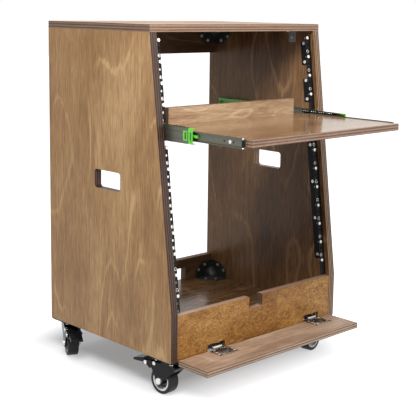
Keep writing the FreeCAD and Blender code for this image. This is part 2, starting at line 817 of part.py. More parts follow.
guides = []
shelf_screws = []
for side, across in (("left", 1), ("right", -1)):
    outer = channel("outer_" + side, side, "0", "slide_sheet", "outer_lip", "outer_high", "slide_sheet",
                    OUTER_FRONT, "outer_long")
    bars = []
    for share in OUTER_SCREW_SHARES:
        x = "%s + %s" % (wall_of(side), inwards(side, "slide_sheet"))
        whole, bar = screw("outer_screw_%s_%d" % (side, round(share * 100)), "wood_head_radius",
                           "slide_head_high", "wood_shank_radius", "wood_shank_long",
                           (x, "%s + outer_long * %r" % (OUTER_FRONT, share), "slide_centre"), "x", -across)
        wood_screws.append(whole)
        bars.append(bar)
        holes.setdefault("side_panel_" + side, []).append(bar)
    export(cut("outer_drilled_" + side, outer, bars), "slide_outer_" + side)
    guide_front = OUTER_FRONT + " + outer_long - guide_long"
    guide_face = "(outer_lip + fit + guide_thick)"
    guides.append(joined("guide_" + side, [
        across_box("guide_strip_" + side, side, "slide_sheet", "(slide_sheet + guide_thick)", guide_front,
                   "guide_long", "slide_centre - guide_high / 2", "guide_high"),
        across_box("guide_cap_" + side, side, "0", guide_face, guide_front, "guide_long + guide_end",
                   "slide_centre + outer_high / 2", "guide_cap"),
        across_box("guide_apron_" + side, side, "(outer_lip + fit)", guide_face, guide_front,
                   "guide_long + guide_end", "slide_centre + outer_high / 2 - guide_apron",
                   "guide_apron + guide_cap"),
        across_box("guide_end_" + side, side, "0", guide_face, OUTER_FRONT + " + outer_long", "guide_end",
                   "slide_centre - outer_high / 2", "outer_high + guide_cap")]))

    middle_web = "(middle_start + slide_sheet)"
    middle_lip = "(middle_start + middle_lip)"
    middle = channel("middle_" + side, side, "middle_start", middle_web, middle_lip, "middle_high",
                     "slide_sheet", MIDDLE_FRONT, "middle_long")
    grooves = [
        across_box("groove_%s_%s" % (level, side), side, "(middle_start - overrun)",
                   "(middle_start + groove_deep)", MIDDLE_FRONT + " - overrun", "middle_long + 2 * overrun",
                   "slide_centre %s groove_out - groove_wide / 2" % sign, "groove_wide")
        for level, sign in (("low", "-"), ("high", "+"))]
    export(cut("grooved_" + side, middle, grooves), "slide_middle_" + side)
    clip = channel("clip_channel_" + side, side, "middle_start", middle_web, middle_lip,
                   "(middle_high - 2 * fit)", "slide_sheet", MIDDLE_FRONT + " - clip_long", "clip_long")
    lobe = across_box("clip_lobe_" + side, side, "(middle_start - clip_lobe_thick)", "middle_start",
                      MIDDLE_FRONT + " - clip_long", "clip_long + clip_lobe_long",
                      "slide_centre - clip_lobe_high / 2", "clip_lobe_high")
    export(joined("clip_" + side, [clip, lobe]), "slide_clip_" + side)

    cage_web = "(%s + cage_clear)" % middle_web
    cage_half = "(middle_high / 2 - slide_sheet - cage_clear)"
    cage_arm = "(%s - inner_high / 2 - cage_clear)" % cage_half
    cage_front = "(%s + cage_from_front)" % MIDDLE_FRONT
    cage = channel("cage_channel_" + side, side, cage_web, "(%s + cage_sheet)" % cage_web,
                   "(middle_start + cage_out)", "(2 * %s)" % cage_half, cage_arm, cage_front, "cage_long")
    balls = []
    seats = []
    ball_depth = "(middle_start + cage_out - ball_radius + cage_clear)"
    for number in range(int(SIZES["ball_count"])):
        y = "%s + (%d + 1 / 2) * cage_long / ball_count" % (cage_front, number)
        for level, sign in (("low", "-"), ("high", "+")):
            z = "slide_centre %s (%s - %s / 2)" % (sign, cage_half, cage_arm)
            name = "%s_%s_%d" % (side, level, number)
            ball = document.addObject("Part::Sphere", "ball_" + name)
            bind(ball, "Radius", "ball_radius")
            x = "%s + %s" % (wall_of(side), inwards(side, ball_depth))
            balls.append(place(ball, (x, y, z)))
            seats.append(across_bar("seat_" + name, side, "ball_radius", "(%s - ball_radius)" % ball_depth,
                                    "(middle_start + cage_out + overrun)", y, z))
    export(cut("cage_" + side, cage, seats), "ball_cage_" + side)
    export(group("ball_set_" + side, balls), "balls_" + side)

    inner = channel("inner_channel_" + side, side, "slide_depth", INNER_WEB, "(slide_depth - inner_lip)",
                    "inner_high", "slide_sheet", INNER_FRONT, "inner_long")
    head_far = "(%s - lever_pin_gap)" % LEVER_FACE
    pin = across_bar("lever_pin_" + side, side, "lever_pin_radius", "(%s - lever_pin_head_high)" % head_far,
                     "(%s + slide_sheet / 2)" % INNER_WEB, LEVER_Y, "slide_centre")
    head = across_bar("lever_pin_head_" + side, side, "lever_pin_head", "(%s - lever_pin_head_high)" % head_far,
                      head_far, LEVER_Y, "slide_centre")
    bars = []
    for share in INNER_SCREW_SHARES:
        x = "%s + %s" % (wall_of(side), inwards(side, INNER_WEB))
        whole, bar = screw("shelf_screw_%s_%d" % (side, round(share * 100)), "wood_head_radius",
                           "wood_head_high", "wood_shank_radius", "wood_shank_long",
                           (x, "%s + inner_long * %r" % (INNER_FRONT, share), "slide_centre"), "x", across)
        shelf_screws.append(whole)
        bars.append(bar)
        holes.setdefault("shelf_board", []).append(bar)
    front_screw = "(%s + inner_long * %r)" % (INNER_FRONT, INNER_SCREW_SHARES[0])
    for name, shift in (("behind", "+ slot_behind"), ("ahead", "- slot_ahead")):
        bars.append(across_bar("slot_%s_%s" % (name, side), side, "slot_radius", "(%s - overrun)" % INNER_WEB,
                               "(slide_depth + overrun)", "%s %s" % (front_screw, shift), "slide_centre"))
    export(cut("inner_drilled_" + side, joined("inner_" + side, [inner, pin, head]), bars),
           "slide_inner_" + side)

    lever = new_body("lever_plate_" + side)
    shape = outline(lever, "lever_outline_" + side, "YZ_Plane", [
        ("lever_back", "-lever_half"), ("lever_back", "lever_half"), ("-lever_back", "lever_half"),
        ("-lever_neck", "lever_nose"), ("-lever_reach", "lever_nose"), ("-lever_reach", "-lever_nose"),
        ("-lever_neck", "-lever_nose"), ("-lever_back", "-lever_half")])
    pad(lever, shape, "lever_thick", reverse=(side == "right"))
    place(lever, ("%s + %s" % (wall_of(side), inwards(side, LEVER_FACE)), LEVER_Y, "slide_centre"))
    tab = across_box("lever_tab_" + side, side, "(%s - lever_thick)" % LEVER_FACE, LEVER_FACE,
                     LEVER_Y + " - lever_reach", "lever_tab", "slide_centre - lever_nose", "lever_tab_high")
    bore = across_bar("lever_bore_" + side, side, "lever_pin_radius + fit", "(%s - overrun)" % LEVER_FACE,
                      INNER_WEB, LEVER_Y, "slide_centre")
    export(cut("lever_" + side, joined("lever_block_" + side, [lever, tab]), [bore]), "slide_lever_" + side)

export(group("guide_set", guides), "slide_guides")
export(group("shelf_screw_set", shelf_screws), "shelf_screws")

# Shelf board and the low board across its back edge.
back_board_front = SHELF_FRONT + " + shelf_deep - back_board_in - back_board_thick"
back_board_low = "shelf_bottom + shelf_thick - back_board_seat"
seat = box("back_board_seat", ("back_board_width", "back_board_thick + back_board_in + overrun",
                               "back_board_seat + overrun"),
           ("-back_board_width / 2", back_board_front, back_board_low))
boards["shelf_board"] = cut("shelf_seated", box("shelf", ("2 * " + SHELF_HALF, "shelf_deep", "shelf_thick"),
                                                ("-" + SHELF_HALF, SHELF_FRONT, "shelf_bottom")), [seat])
export(box("shelf_back", ("back_board_width", "back_board_thick", "back_board_high + back_board_seat"),
           ("-back_board_width / 2", back_board_front, back_board_low)), "shelf_back_board")


# Front flap with two cup hinges: cups on the flap, arms on the bottom panel, and their pins.
FLAP_EDGE = "(%s - pin_behind_flap)" % PIN_Y
CUP_Y = "(%s - cup_from_edge)" % FLAP_EDGE
boards["flap_board"] = box("flap", ("flap_width", "flap_deep", "flap_thick"),
                           ("-flap_width / 2", FLAP_EDGE + " - flap_deep", "flap_top - flap_thick"))
hinge_arms = []
hinge_pins = []
hinge_cups = []
cup_screws = []
for side, centre in (("left", "-hinge_left"), ("right", "hinge_right")):
    seat = cylinder("cup_seat_" + side, "cup_radius", "cup_deep", (centre, CUP_Y, "flap_top - cup_deep"))
    holes.setdefault("flap_board", []).append(seat)
    wall = cylinder("cup_wall_" + side, "cup_radius", "cup_deep", (centre, CUP_Y, "flap_top - cup_deep"))
    flange = box("cup_flange_" + side, ("flange_wide", "flange_deep", "flange_thick"),
                 (centre + " - flange_wide / 2", FLAP_EDGE + " - flange_from_edge - flange_deep", "flap_top"))
    link = box("cup_link_" + side, ("link_wide", "link_long", "link_thick"),
               (centre + " - link_wide / 2", PIN_Y + " - link_long", "flap_top + flange_thick"))
    knuckle = cylinder("cup_knuckle_" + side, "knuckle_radius", "link_wide",
                       (centre + " - link_wide / 2", PIN_Y, PIN_Z), "x")
    hollow = cylinder("cup_hollow_" + side, "cup_radius - cup_wall", "cup_deep + overrun",
                      (centre, CUP_Y, "flap_top - cup_deep + cup_wall"))
    bore = cylinder("cup_bore_" + side, "pin_radius + fit", "link_wide + 2 * overrun",
                    (centre + " - link_wide / 2 - overrun", PIN_Y, PIN_Z), "x")
    pieces = [wall, flange, link, knuckle, cylinder("cup_ring_" + side, "cup_ring_radius", "cup_ring_high",
                                                    (centre, CUP_Y, "flap_top"))]
    tools = [hollow, bore]
    for out in ("-", "+"):
        pad_x = centre + (" + cup_pad_from" if out == "+" else " - flange_wide / 2")
        pieces.append(box("cup_pad_%s_%s" % (side, "in" if out == "+" else "out"),
                          ("flange_wide / 2 - cup_pad_from", "cup_pad_deep", "cup_pad_high"),
                          (pad_x, CUP_Y + " - cup_pad_deep / 2", "flap_top")))
        whole, bar = screw("cup_screw_%s_%s" % (side, "in" if out == "+" else "out"), "cup_screw_head",
                           "flange_thick", "wood_shank_radius", "cup_screw_long",
                           ("%s %s cup_screw_out" % (centre, out), CUP_Y,
                            "flap_top + cup_pad_high - flange_thick"), "z", -1)
        cup_screws.append(whole)
        tools.append(whole)
        holes["flap_board"].append(bar)
    hinge_cups.append(cut("cup_" + side, joined("cup_block_" + side, pieces), tools))

    pin_half = "(link_wide / 2 + ear_gap + ear_thick)"
    hinge_pins.append(cylinder("hinge_pin_" + side, "pin_radius", "2 * " + pin_half,
                               ("%s - %s" % (centre, pin_half), PIN_Y, PIN_Z), "x"))
    plate_y = KICK_FACE + " + kick_thick - arm_thick"
    pieces = [box("arm_plate_" + side, ("arm_wide", "arm_thick", "arm_high"),
                  (centre + " - arm_wide / 2", plate_y, "caster_high + arm_low"))]
    for place_name, x in (("in", "%s + %s - ear_thick" % (centre, pin_half)),
                          ("out", "%s - %s" % (centre, pin_half))):
        pieces.append(box("ear_%s_%s" % (side, place_name),
                          ("ear_thick", "%s - %s" % (plate_y, PIN_Y), "2 * ear_radius"),
                          (x, PIN_Y, PIN_Z + " - ear_radius")))
        pieces.append(cylinder("ear_end_%s_%s" % (side, place_name), "ear_radius", "ear_thick",
                               (x, PIN_Y, PIN_Z), "x"))
    bars = [hinge_pins[-1]]
    for out in ("-", "+"):
        bars.append(wood_screw("arm_screw_%s_%s" % (side, "in" if out == "+" else "out"), (
            "%s %s arm_screw_out" % (centre, out), plate_y, "caster_high + arm_low + arm_high / 2"),
            "y", 1, ["bottom_panel"]))
    hinge_arms.append(cut("arm_" + side, joined("arm_block_" + side, pieces), bars))
export(group("hinge_arm_set", hinge_arms), "hinge_arms")
export(group("hinge_pin_set", hinge_pins), "hinge_pins")
export(group("hinge_cup_set", hinge_cups), "hinge_cups")
export(group("cup_screw_set", cup_screws), "cup_screws")
export(group("wood_screw_set", wood_screws), "wood_screws")


# Casters: each is drawn about its own swivel axis, trailing to the back, and then turned and placed.
PLATE_LOW = "(caster_high - plate_thick)"
RACE_LOW = "(%s - race_thick)" % PLATE_LOW
BRIDGE_TOP = "(%s - race_gap)" % RACE_LOW
BRIDGE_LOW = "(%s - fork_bridge)" % BRIDGE_TOP
FORK_HALF = "(fork_inside / 2 + fork_sheet)"
CASTER_OUT = "(body_width / 2 - plate_edge - plate_side / 2)"
caster_plates = []
caster_screws = []


def middle_bar(name, radius, half, y, z):
    """A round bar along X, centred between the fork's legs."""
    return cylinder(name, radius, "2 * %s" % half, ("-" + half, y, z), "x")


def side_shape(body_name, points, length, start):
    """A plate drawn from the side and raised along X from a start."""
    body = new_body(body_name)
    pad(body, outline(body, body_name + "_outline", "YZ_Plane", points), length)
    return place(body, (start, "0", "0"))


def ring(body_name, outer, inner, wide, rounding=None):
    """A ring about the wheel's axle."""
    body = new_body(body_name)
    pad(body, rounds(body, body_name + "_circles", "YZ_Plane", [
        (outer, "trail", "wheel_radius"), (inner, "trail", "wheel_radius")]), wide, middle=True)
    if rounding:
        radius = value(outer)
        round_edges(body, rounding, lambda edge: hasattr(edge.Curve, "Radius") and
                    abs(edge.Curve.Radius - radius) < 1e-6)
    return body


def caster(corner, side, end, swivel):
    """All pieces of one caster."""
    x = "-" + CASTER_OUT if side == "left" else CASTER_OUT
    y = "%s + plate_edge + plate_side / 2" % FRONT if end == "front" else "%s - plate_edge - plate_side / 2" % BACK
    spot = (x, y, "0")
    turn = ((0, 0, 1), swivel)

    pieces = [
        box("plate_" + corner, ("plate_side", "plate_side", "plate_thick"),
            (x + " - plate_side / 2", y + " - plate_side / 2", PLATE_LOW)),
        cylinder("race_" + corner, "race_radius", "race_thick", (x, y, RACE_LOW)),
        cylinder("kingpin_" + corner, "kingpin_radius", "%s - %s + race_gap" % (PLATE_LOW, BRIDGE_LOW),
                 (x, y, BRIDGE_LOW + " - race_gap")),
        cylinder("kingpin_head_" + corner, "kingpin_head", "kingpin_head_high",
                 (x, y, BRIDGE_LOW + " - race_gap - kingpin_head_high"))]
    bars = []
    for across in ("-", "+"):
        for along in ("-", "+"):
            at = ("%s %s (plate_side / 2 - plate_hole_in)" % (x, across),
                  "%s %s (plate_side / 2 - plate_hole_in)" % (y, along), PLATE_LOW)
            name = "caster_screw_%s_%d" % (corner, len(bars))
            whole, bar = screw(name, "caster_screw_head", "caster_screw_head_high", "caster_screw_radius",
                               "caster_screw_long", at, "z", 1)
            caster_screws.append(whole)
            bars.append(bar)
            outer = across == ("-" if side == "left" else "+")
            if outer:
                board = "side_panel_" + side
            elif end == "front" and along == "-":
                board = "kick_board"
            else:
                board = "bottom_panel"
            holes.setdefault(board, []).append(bar)
    caster_plates.append(cut("plate_drilled_" + corner, joined("plate_block_" + corner, pieces), bars))

    leg = [("-fork_shoulder", BRIDGE_TOP), ("fork_shoulder", BRIDGE_TOP), ("fork_radius", "fork_arm_top + fork_sheet"),
           ("brake_arm_end", "fork_arm_top"), ("brake_arm_end", "fork_arm_low"),
           ("fork_arm_root", "fork_arm_low"), ("trail + axle_boss_radius", "wheel_radius"),
           ("trail - axle_boss_radius", "wheel_radius"), ("-fork_nose_in", "fork_nose_low"),
           ("-fork_nose_out", "fork_nose_high"), ("-fork_radius", "fork_nose_high + fork_bridge")]
    nose = [("-fork_nose_in", "fork_nose_low"), ("-fork_nose_out", "fork_nose_high"),
            ("-fork_radius", "fork_nose_high + fork_bridge"), ("-fork_shoulder", BRIDGE_TOP),
            ("-fork_shoulder", BRIDGE_TOP + " - fork_nose_sheet"),
            ("-fork_nose_out + fork_nose_sheet + fork_sheet", "fork_nose_high"),
            ("-fork_nose_in + fork_nose_sheet", "fork_nose_low")]
    blocks = [
        cylinder("bridge_" + corner, "fork_radius", "fork_bridge", ("0", "0", BRIDGE_LOW)),
        side_shape("leg_left_" + corner, leg, "fork_sheet", "-" + FORK_HALF),
        side_shape("leg_right_" + corner, leg, "fork_sheet", "fork_inside / 2"),
        side_shape("nose_" + corner, nose, "2 * " + FORK_HALF, "-" + FORK_HALF),
        cylinder("boss_left_" + corner, "axle_boss_radius", "fork_sheet",
                 ("-" + FORK_HALF, "trail", "wheel_radius"), "x"),
        cylinder("boss_right_" + corner, "axle_boss_radius", "fork_sheet",
                 ("fork_inside / 2", "trail", "wheel_radius"), "x")]
    bolt = middle_bar("axle_bolt_" + corner, "axle_radius", FORK_HALF, "trail", "wheel_radius")
    brake_pin = middle_bar("brake_pin_" + corner, "brake_pin_radius", FORK_HALF, "brake_pin_y", "brake_pin_z")
    rivet = middle_bar("rivet_" + corner, "brake_pin_radius", FORK_HALF, "brake_rivet_y", "brake_rivet_z")
    hole = cylinder("swivel_bore_" + corner, "kingpin_radius + ear_gap", "fork_bridge + 2 * overrun",
                    ("0", "0", BRIDGE_LOW + " - overrun"))
    fork = cut("fork_" + corner, joined("fork_block_" + corner, blocks), [bolt, brake_pin, rivet, hole])
    export(place(fork, spot, turn), "fork_" + corner)

    heads = []
    for across in ("left", "right"):
        for name, radius, high, at_y, at_z in (
                ("axle", "axle_head_radius", "axle_head_high", "trail", "wheel_radius"),
                ("brake", "brake_pin_head", "brake_pin_head_high", "brake_pin_y", "brake_pin_z"),
                ("rivet", "brake_pin_head", "brake_pin_head_high", "brake_rivet_y", "brake_rivet_z")):
            start = "-%s - %s" % (FORK_HALF, high) if across == "left" else FORK_HALF
            heads.append(cylinder("%s_head_%s_%s" % (name, across, corner), radius, high,
                                  (start, at_y, at_z), "x"))
    rivets = [cylinder("rivet_left_" + corner, "brake_pin_radius", "fork_sheet",
                       ("-" + FORK_HALF, "brake_rivet_y", "brake_rivet_z"), "x"),
              cylinder("rivet_right_" + corner, "brake_pin_radius", "fork_sheet",
                       ("fork_inside / 2", "brake_rivet_y", "brake_rivet_z"), "x")]
    pins = [
        joined("axle_set_" + corner, [bolt, heads[0], heads[3]]),
        joined("brake_set_" + corner, [brake_pin, heads[1], heads[4]]),
        joined("rivet_set_left_" + corner, [rivets[0], heads[2]]),
        joined("rivet_set_right_" + corner, [rivets[1], heads[5]])]
    export(place(group("pins_" + corner, pins), spot, turn), "axle_" + corner)

    rim = "(wheel_radius - tyre_wall)"
    tyre = ring("tyre_ring_" + corner, "wheel_radius", rim, "tyre_width", "tyre_rounding")
    export(place(tyre, spot, turn), "tyre_" + corner)
    boss_half = "(fork_inside / 2 - boss_gap)"
    hub = joined("hub_block_" + corner, [
        ring("hub_ring_" + corner, rim, "%s - hub_rim" % rim, "tyre_width - 2 * hub_set_in"),
        middle_bar("hub_disc_" + corner, rim + " - hub_rim / 2", "(hub_web / 2)", "trail", "wheel_radius"),
        middle_bar("hub_boss_" + corner, "hub_boss_radius", boss_half, "trail", "wheel_radius")])
    bore = middle_bar("hub_bore_" + corner, "axle_radius + fit", FORK_HALF, "trail", "wheel_radius")
    export(place(cut("hub_" + corner, hub, [bore]), spot, turn), "hub_" + corner)

    pedal = side_shape("pedal_" + corner, [
        ("pedal_heel", "pedal_heel_low"), ("pedal_heel", "pedal_heel_top"),
        ("pedal_throat", "pedal_heel_top"), ("pedal_back", "pedal_back_top"),
        ("pedal_tip", "pedal_tip_top"), ("pedal_tip", "pedal_tip_low"), ("pedal_sole", "pedal_tip_low"),
        ("pedal_waist", "pedal_waist_low"), ("shoe_far", "shoe_far_low"), ("shoe_near", "shoe_near_low"),
        ("pedal_throat", "pedal_throat_low")], "brake_width", "-brake_width / 2")
    bore = middle_bar("pedal_bore_" + corner, "brake_pin_radius + fit", FORK_HALF, "brake_pin_y", "brake_pin_z")
    export(place(cut("brake_" + corner, pedal, [bore]), spot, turn), "brake_lever_" + corner)


for corner, side, end in (("front_left", "left", "front"), ("front_right", "right", "front"),
                          ("rear_left", "left", "rear"), ("rear_right", "right", "rear")):
    caster(corner, side, end, "swivel_" + corner)
export(group("caster_plate_set", caster_plates), "caster_plates")
export(group("caster_screw_set", caster_screws), "caster_screws")

# The boards with their screw holes.
for name, board in boards.items():
    export(cut(name + "_drilled", board, holes[name]), name)

document.recompute()

faults = []
for thing in document.Objects:
    if "Invalid" in thing.State or "Error" in thing.State:
        faults.append("%s is in state %s" % (thing.Name, thing.State))
for thing in exports:
    if thing.Shape.isNull() or not thing.Shape.isValid() or not thing.Shape.Solids:
        faults.append("%s has no valid shape" % thing.Label)
labels = [thing.Label for thing in document.Objects]
faults += ["%s is used twice" % label for label in sorted(set(labels)) if labels.count(label) > 1]
if faults:
    raise RuntimeError("; ".join(faults))

os.makedirs("parts", exist_ok=True)
for thing in exports:
    thing.Shape.exportStep(os.path.join("parts", thing.Label + ".step"))
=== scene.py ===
import json
import math

import bpy
from mathutils import Matrix, Vector


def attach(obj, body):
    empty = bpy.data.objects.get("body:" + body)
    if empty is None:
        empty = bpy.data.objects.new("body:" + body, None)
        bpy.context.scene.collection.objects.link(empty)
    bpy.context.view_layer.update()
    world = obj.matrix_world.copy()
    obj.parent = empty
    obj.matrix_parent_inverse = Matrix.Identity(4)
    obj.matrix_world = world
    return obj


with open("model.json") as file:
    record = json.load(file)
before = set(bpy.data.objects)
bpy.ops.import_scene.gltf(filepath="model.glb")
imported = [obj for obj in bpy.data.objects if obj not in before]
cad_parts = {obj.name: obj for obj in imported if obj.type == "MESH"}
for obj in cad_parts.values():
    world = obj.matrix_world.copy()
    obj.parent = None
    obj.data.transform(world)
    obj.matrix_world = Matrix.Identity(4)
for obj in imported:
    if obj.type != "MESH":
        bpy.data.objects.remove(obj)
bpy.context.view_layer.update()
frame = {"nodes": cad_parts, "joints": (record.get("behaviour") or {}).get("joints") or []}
scene = bpy.context.scene

X, Y, Z = 0, 1, 2
SIDES = {"left": -1, "right": 1}
CORNERS = ("front_left", "front_right", "rear_left", "rear_right")
BLACK = (0.0, 0.0, 0.0)
WHITE = (1.0, 1.0, 1.0, 1.0)

# Camera fitted to the photograph: place in metres, angles in radians, focal length in pixels.
CAMERA_PLACE = Vector((-1.57688, -1.60216, 0.81793))
CAMERA_TURN = 0.77153
CAMERA_DIP = 0.15640
CAMERA_ROLL = 0.015847
CAMERA_REACH = 50
FOCAL_PIXELS = 995.35
CENTRE_PIXEL = (218.51, 164.94)
IMAGE_PIXELS = 416
SENSOR_WIDTH = 36.0


def add_camera():
    """The camera at the photograph's place and angle."""
    data = bpy.data.cameras.new("camera")
    data.sensor_width = SENSOR_WIDTH
    data.lens = FOCAL_PIXELS / IMAGE_PIXELS * SENSOR_WIDTH
    data.shift_x = -(CENTRE_PIXEL[0] - IMAGE_PIXELS / 2) / IMAGE_PIXELS
    data.shift_y = (CENTRE_PIXEL[1] - IMAGE_PIXELS / 2) / IMAGE_PIXELS
    data.clip_end = CAMERA_REACH
    forward = Vector((math.sin(CAMERA_TURN) * math.cos(CAMERA_DIP),
                      math.cos(CAMERA_TURN) * math.cos(CAMERA_DIP), -math.sin(CAMERA_DIP)))
    level = Vector((math.cos(CAMERA_TURN), -math.sin(CAMERA_TURN), 0))
    upright = level.cross(forward)
    right = math.cos(CAMERA_ROLL) * level + math.sin(CAMERA_ROLL) * upright
    up = -math.sin(CAMERA_ROLL) * level + math.cos(CAMERA_ROLL) * upright
    camera = bpy.data.objects.new("camera", data)
    scene.collection.objects.link(camera)
    turn = Matrix((right, up, -forward)).transposed().to_4x4()
    camera.matrix_world = Matrix.Translation(CAMERA_PLACE) @ turn
    scene.camera = camera


add_camera()


# Small helpers that build shader trees.
BEVEL_SAMPLES = 4


def new_material(name):
    """A material whose tree holds only its shader and its output."""
    material = bpy.data.materials.new(name)
    material.use_nodes = True
    tree = material.node_tree
    tree.nodes.clear()
    output = tree.nodes.new("ShaderNodeOutputMaterial")
    shader = tree.nodes.new("ShaderNodeBsdfPrincipled")
    tree.links.new(shader.outputs["BSDF"], output.inputs["Surface"])
    return material, tree, shader


def feed(tree, socket, value):
    """Give a socket a link or a plain value."""
    if isinstance(value, bpy.types.NodeSocket):
        tree.links.new(value, socket)
    elif value is not None:
        socket.default_value = value


def math_of(tree, operation, first, second=None, third=None):
    """The result of a sum on up to three numbers."""
    node = tree.nodes.new("ShaderNodeMath")
    node.operation = operation
    for socket, value in zip(node.inputs, (first, second, third)):
        feed(tree, socket, value)
    return node.outputs[0]


def vector_math_of(tree, operation, first, second=None):
    """The node that works out a sum on one or two vectors."""
    node = tree.nodes.new("ShaderNodeVectorMath")
    node.operation = operation
    for socket, value in zip(node.inputs, (first, second)):
        feed(tree, socket, value)
    return node


def sum_of(tree, start, terms):
    """A start value plus each part times its share."""
    total = start
    for part, share in terms:
        total = math_of(tree, "MULTIPLY_ADD", part, share, total)
    return total


def coordinates_of(tree, kind):
    """The three parts of a piece's own coordinates, which stay with it in every pose.

    The kind is Object for places and Normal for the directions that the surface faces.
    """
    source = tree.nodes.new("ShaderNodeTexCoord")
    split = tree.nodes.new("ShaderNodeSeparateXYZ")
    tree.links.new(source.outputs[kind], split.inputs[0])
    return [split.outputs[0], split.outputs[1], split.outputs[2]]


def vector_of(tree, x, y, z):
    """Three numbers as one vector."""
    node = tree.nodes.new("ShaderNodeCombineXYZ")
    for socket, value in zip(node.inputs, (x, y, z)):
        feed(tree, socket, value)
    return node.outputs[0]


def noise_of(tree, vector, scale, detail, roughness, distortion=0.0):
    """Soft noise from 0 to 1."""
    node = tree.nodes.new("ShaderNodeTexNoise")
    feed(tree, node.inputs["Vector"], vector)
    node.inputs["Scale"].default_value = scale
    node.inputs["Detail"].default_value = detail
    node.inputs["Roughness"].default_value = roughness
    node.inputs["Distortion"].default_value = distortion
    return node.outputs["Fac"]


def layer_of(tree, place, layer):
    """Noise with a scale of its own for each part of a place."""
    scales, detail, roughness, distortion = layer
    stretched = [math_of(tree, "MULTIPLY", part, scale) for part, scale in zip(place, scales)]
    return noise_of(tree, vector_of(tree, *stretched), 1.0, detail, roughness, distortion)


def ripples_of(tree, value, count):
    """A wave that rises and falls between 0 and 1 as a value grows."""
    return math_of(tree, "PINGPONG", math_of(tree, "MULTIPLY", value, count), 1.0)


def spread_of(tree, value, span, new_span=(0.0, 1.0)):
    """A value's way through one span, as the same way through another."""
    node = tree.nodes.new("ShaderNodeMapRange")
    feed(tree, node.inputs[0], value)
    for socket, number in zip(node.inputs[1:5], (*span, *new_span)):
        feed(tree, socket, number)
    return node.outputs[0]


def ramp_of(tree, factor, stops, colours):
    """A colour that goes through a list of colours, one at each stop."""
    node = tree.nodes.new("ShaderNodeValToRGB")
    feed(tree, node.inputs["Fac"], factor)
    marks = node.color_ramp.elements
    while len(marks) < len(stops):
        marks.new(0.5)
    for mark, stop, colour in zip(marks, stops, colours):
        mark.position = stop
        mark.color = (*colour, 1.0)
    return node.outputs["Color"]


def mix_of(tree, factor, first, second, blend="MIX"):
    """Two colours mixed, where a colour is a link or three numbers."""
    node = tree.nodes.new("ShaderNodeMix")
    node.data_type = "RGBA"
    node.blend_type = blend
    feed(tree, node.inputs[0], factor)
    for socket, value in ((node.inputs[6], first), (node.inputs[7], second)):
        feed(tree, socket, (*value, 1.0) if isinstance(value, tuple) else value)
    return node.outputs[2]


def add_relief(tree, shader, height, strength, depth, rounding):
    """Relief of a strength and a depth in metres, over edges that look slightly rounded."""
    soft = tree.nodes.new("ShaderNodeBevel")
    soft.samples = BEVEL_SAMPLES
    soft.inputs["Radius"].default_value = rounding
    node = tree.nodes.new("ShaderNodeBump")
    node.inputs["Strength"].default_value = strength
    node.inputs["Distance"].default_value = depth
    tree.links.new(height, node.inputs["Height"])
    tree.links.new(soft.outputs[0], node.inputs["Normal"])
    tree.links.new(node.outputs[0], shader.inputs["Normal"])


def add_roughness(tree, shader, pattern, span, roughness, changes):
    """A roughness that a pattern changes by up to a little less or a little more."""
    varied = spread_of(tree, pattern, span, [roughness + change for change in changes])
    tree.links.new(varied, shader.inputs["Roughness"])


def shades_of(colour, change):
    """A darker and a lighter shade of a colour."""
    return [tuple(min(1.0, part * factor) for part in colour) for factor in (1 - change, 1 + change)]


# Stained plywood. Each noise layer gives its scales across, along and through the board, its detail, its
# roughness and its distortion. Each share says how much a part adds to the tone, which starts below zero.
# The relief gives its strength, its depth and the rounding of edges, in metres.
TONE_START = -0.36
TONE_STOPS = (0.34, 0.51, 0.70)
SEED_ACROSS_SHARE = 0.37
DEPTH_SHARE = 0.6
WOOD_SPAN = (0.2, 0.8)
WOOD_CHANGES = (-0.04, 0.08)
WOOD_RELIEF = (0.20, 0.0003, 0.0009)
COAT_ROUGHNESS = 0.14

# The figure of a sliced veneer: a jagged field, whose contours are the pale lines and the bands.
JAG = ((130.0, 14.0, 1.0), 2.0, 0.5, 0.0)
JAG_REACH = 0.04
FIELD_ACROSS = 5.6
FIELD_ALONG = 1.9
FIELD = (1.0, 0.45, 0.1)
LINE_COUNT = 15.0
LINE_SPAN = (0.86, 1.0)
LINE_PLACES = ((8.0, 3.4, 1.0), 2.0, 0.5, 0.0)
LINE_PLACES_SPAN = (0.38, 0.56)
BAND_COUNT = 7.5
STREAK = ((95.0, 5.0, 1.0), 3.0, 0.6, 0.35)
SHORT_STREAK = ((260.0, 30.0, 1.0), 2.0, 0.6, 0.3)
FIBRE = ((520.0, 22.0, 1.0), 3.0, 0.6, 0.3)
CLOUD = ((9.0, 3.4, 1.0), 3.0, 0.6, 0.3)
LINE_SHARE = 0.26
BAND_SHARE = 0.09
STREAK_SHARE = 0.34
SHORT_SHARE = 0.40
CLOUD_SHARE = 0.54
FIBRE_SHARE = 0.34

# The figure of the wild golden veneer.
CURL = ((17.0, 24.0, 1.0), 2.0, 0.5, 1.3)
EYES = ((62.0, 170.0, 1.0), 3.0, 0.62, 2.4)
BURL_CLOUD = ((7.0, 9.0, 1.0), 2.0, 0.5, 0.4)
CURL_RIPPLES = 26.0
BURL_SHARES = (0.15, 0.30, 0.78, 0.50)

# Pores in the faces. The relief sinks at them and rises at the fibres.
PORE = ((900.0, 60.0, 1.0), 1.0, 0.5, 0.0)
PORE_SPAN = (0.64, 0.76)
PORE_COLOUR = (0.40, 0.34, 0.30)
PORE_STRENGTH = 0.35
RELIEF_SHARES = (-0.8, 0.6)

# The cut edges: layers of a real thickness in metres, with streaks along them and grit.
LAYER_THICKNESS = 0.0029
LAYER_SPAN = (0.30, 0.70)
EDGE_ALONG = 11.0
EDGE_ACROSS = 520.0
EDGE_STREAK = (3.0, 0.6, 0.2)
EDGE_GRIT = ((230.0, 230.0, 230.0), 2.0, 0.6, 0.0)
EDGE_SHARES = (0.70, 0.42, 0.30)
EDGE_STOPS = (0.48, 0.72, 0.98)

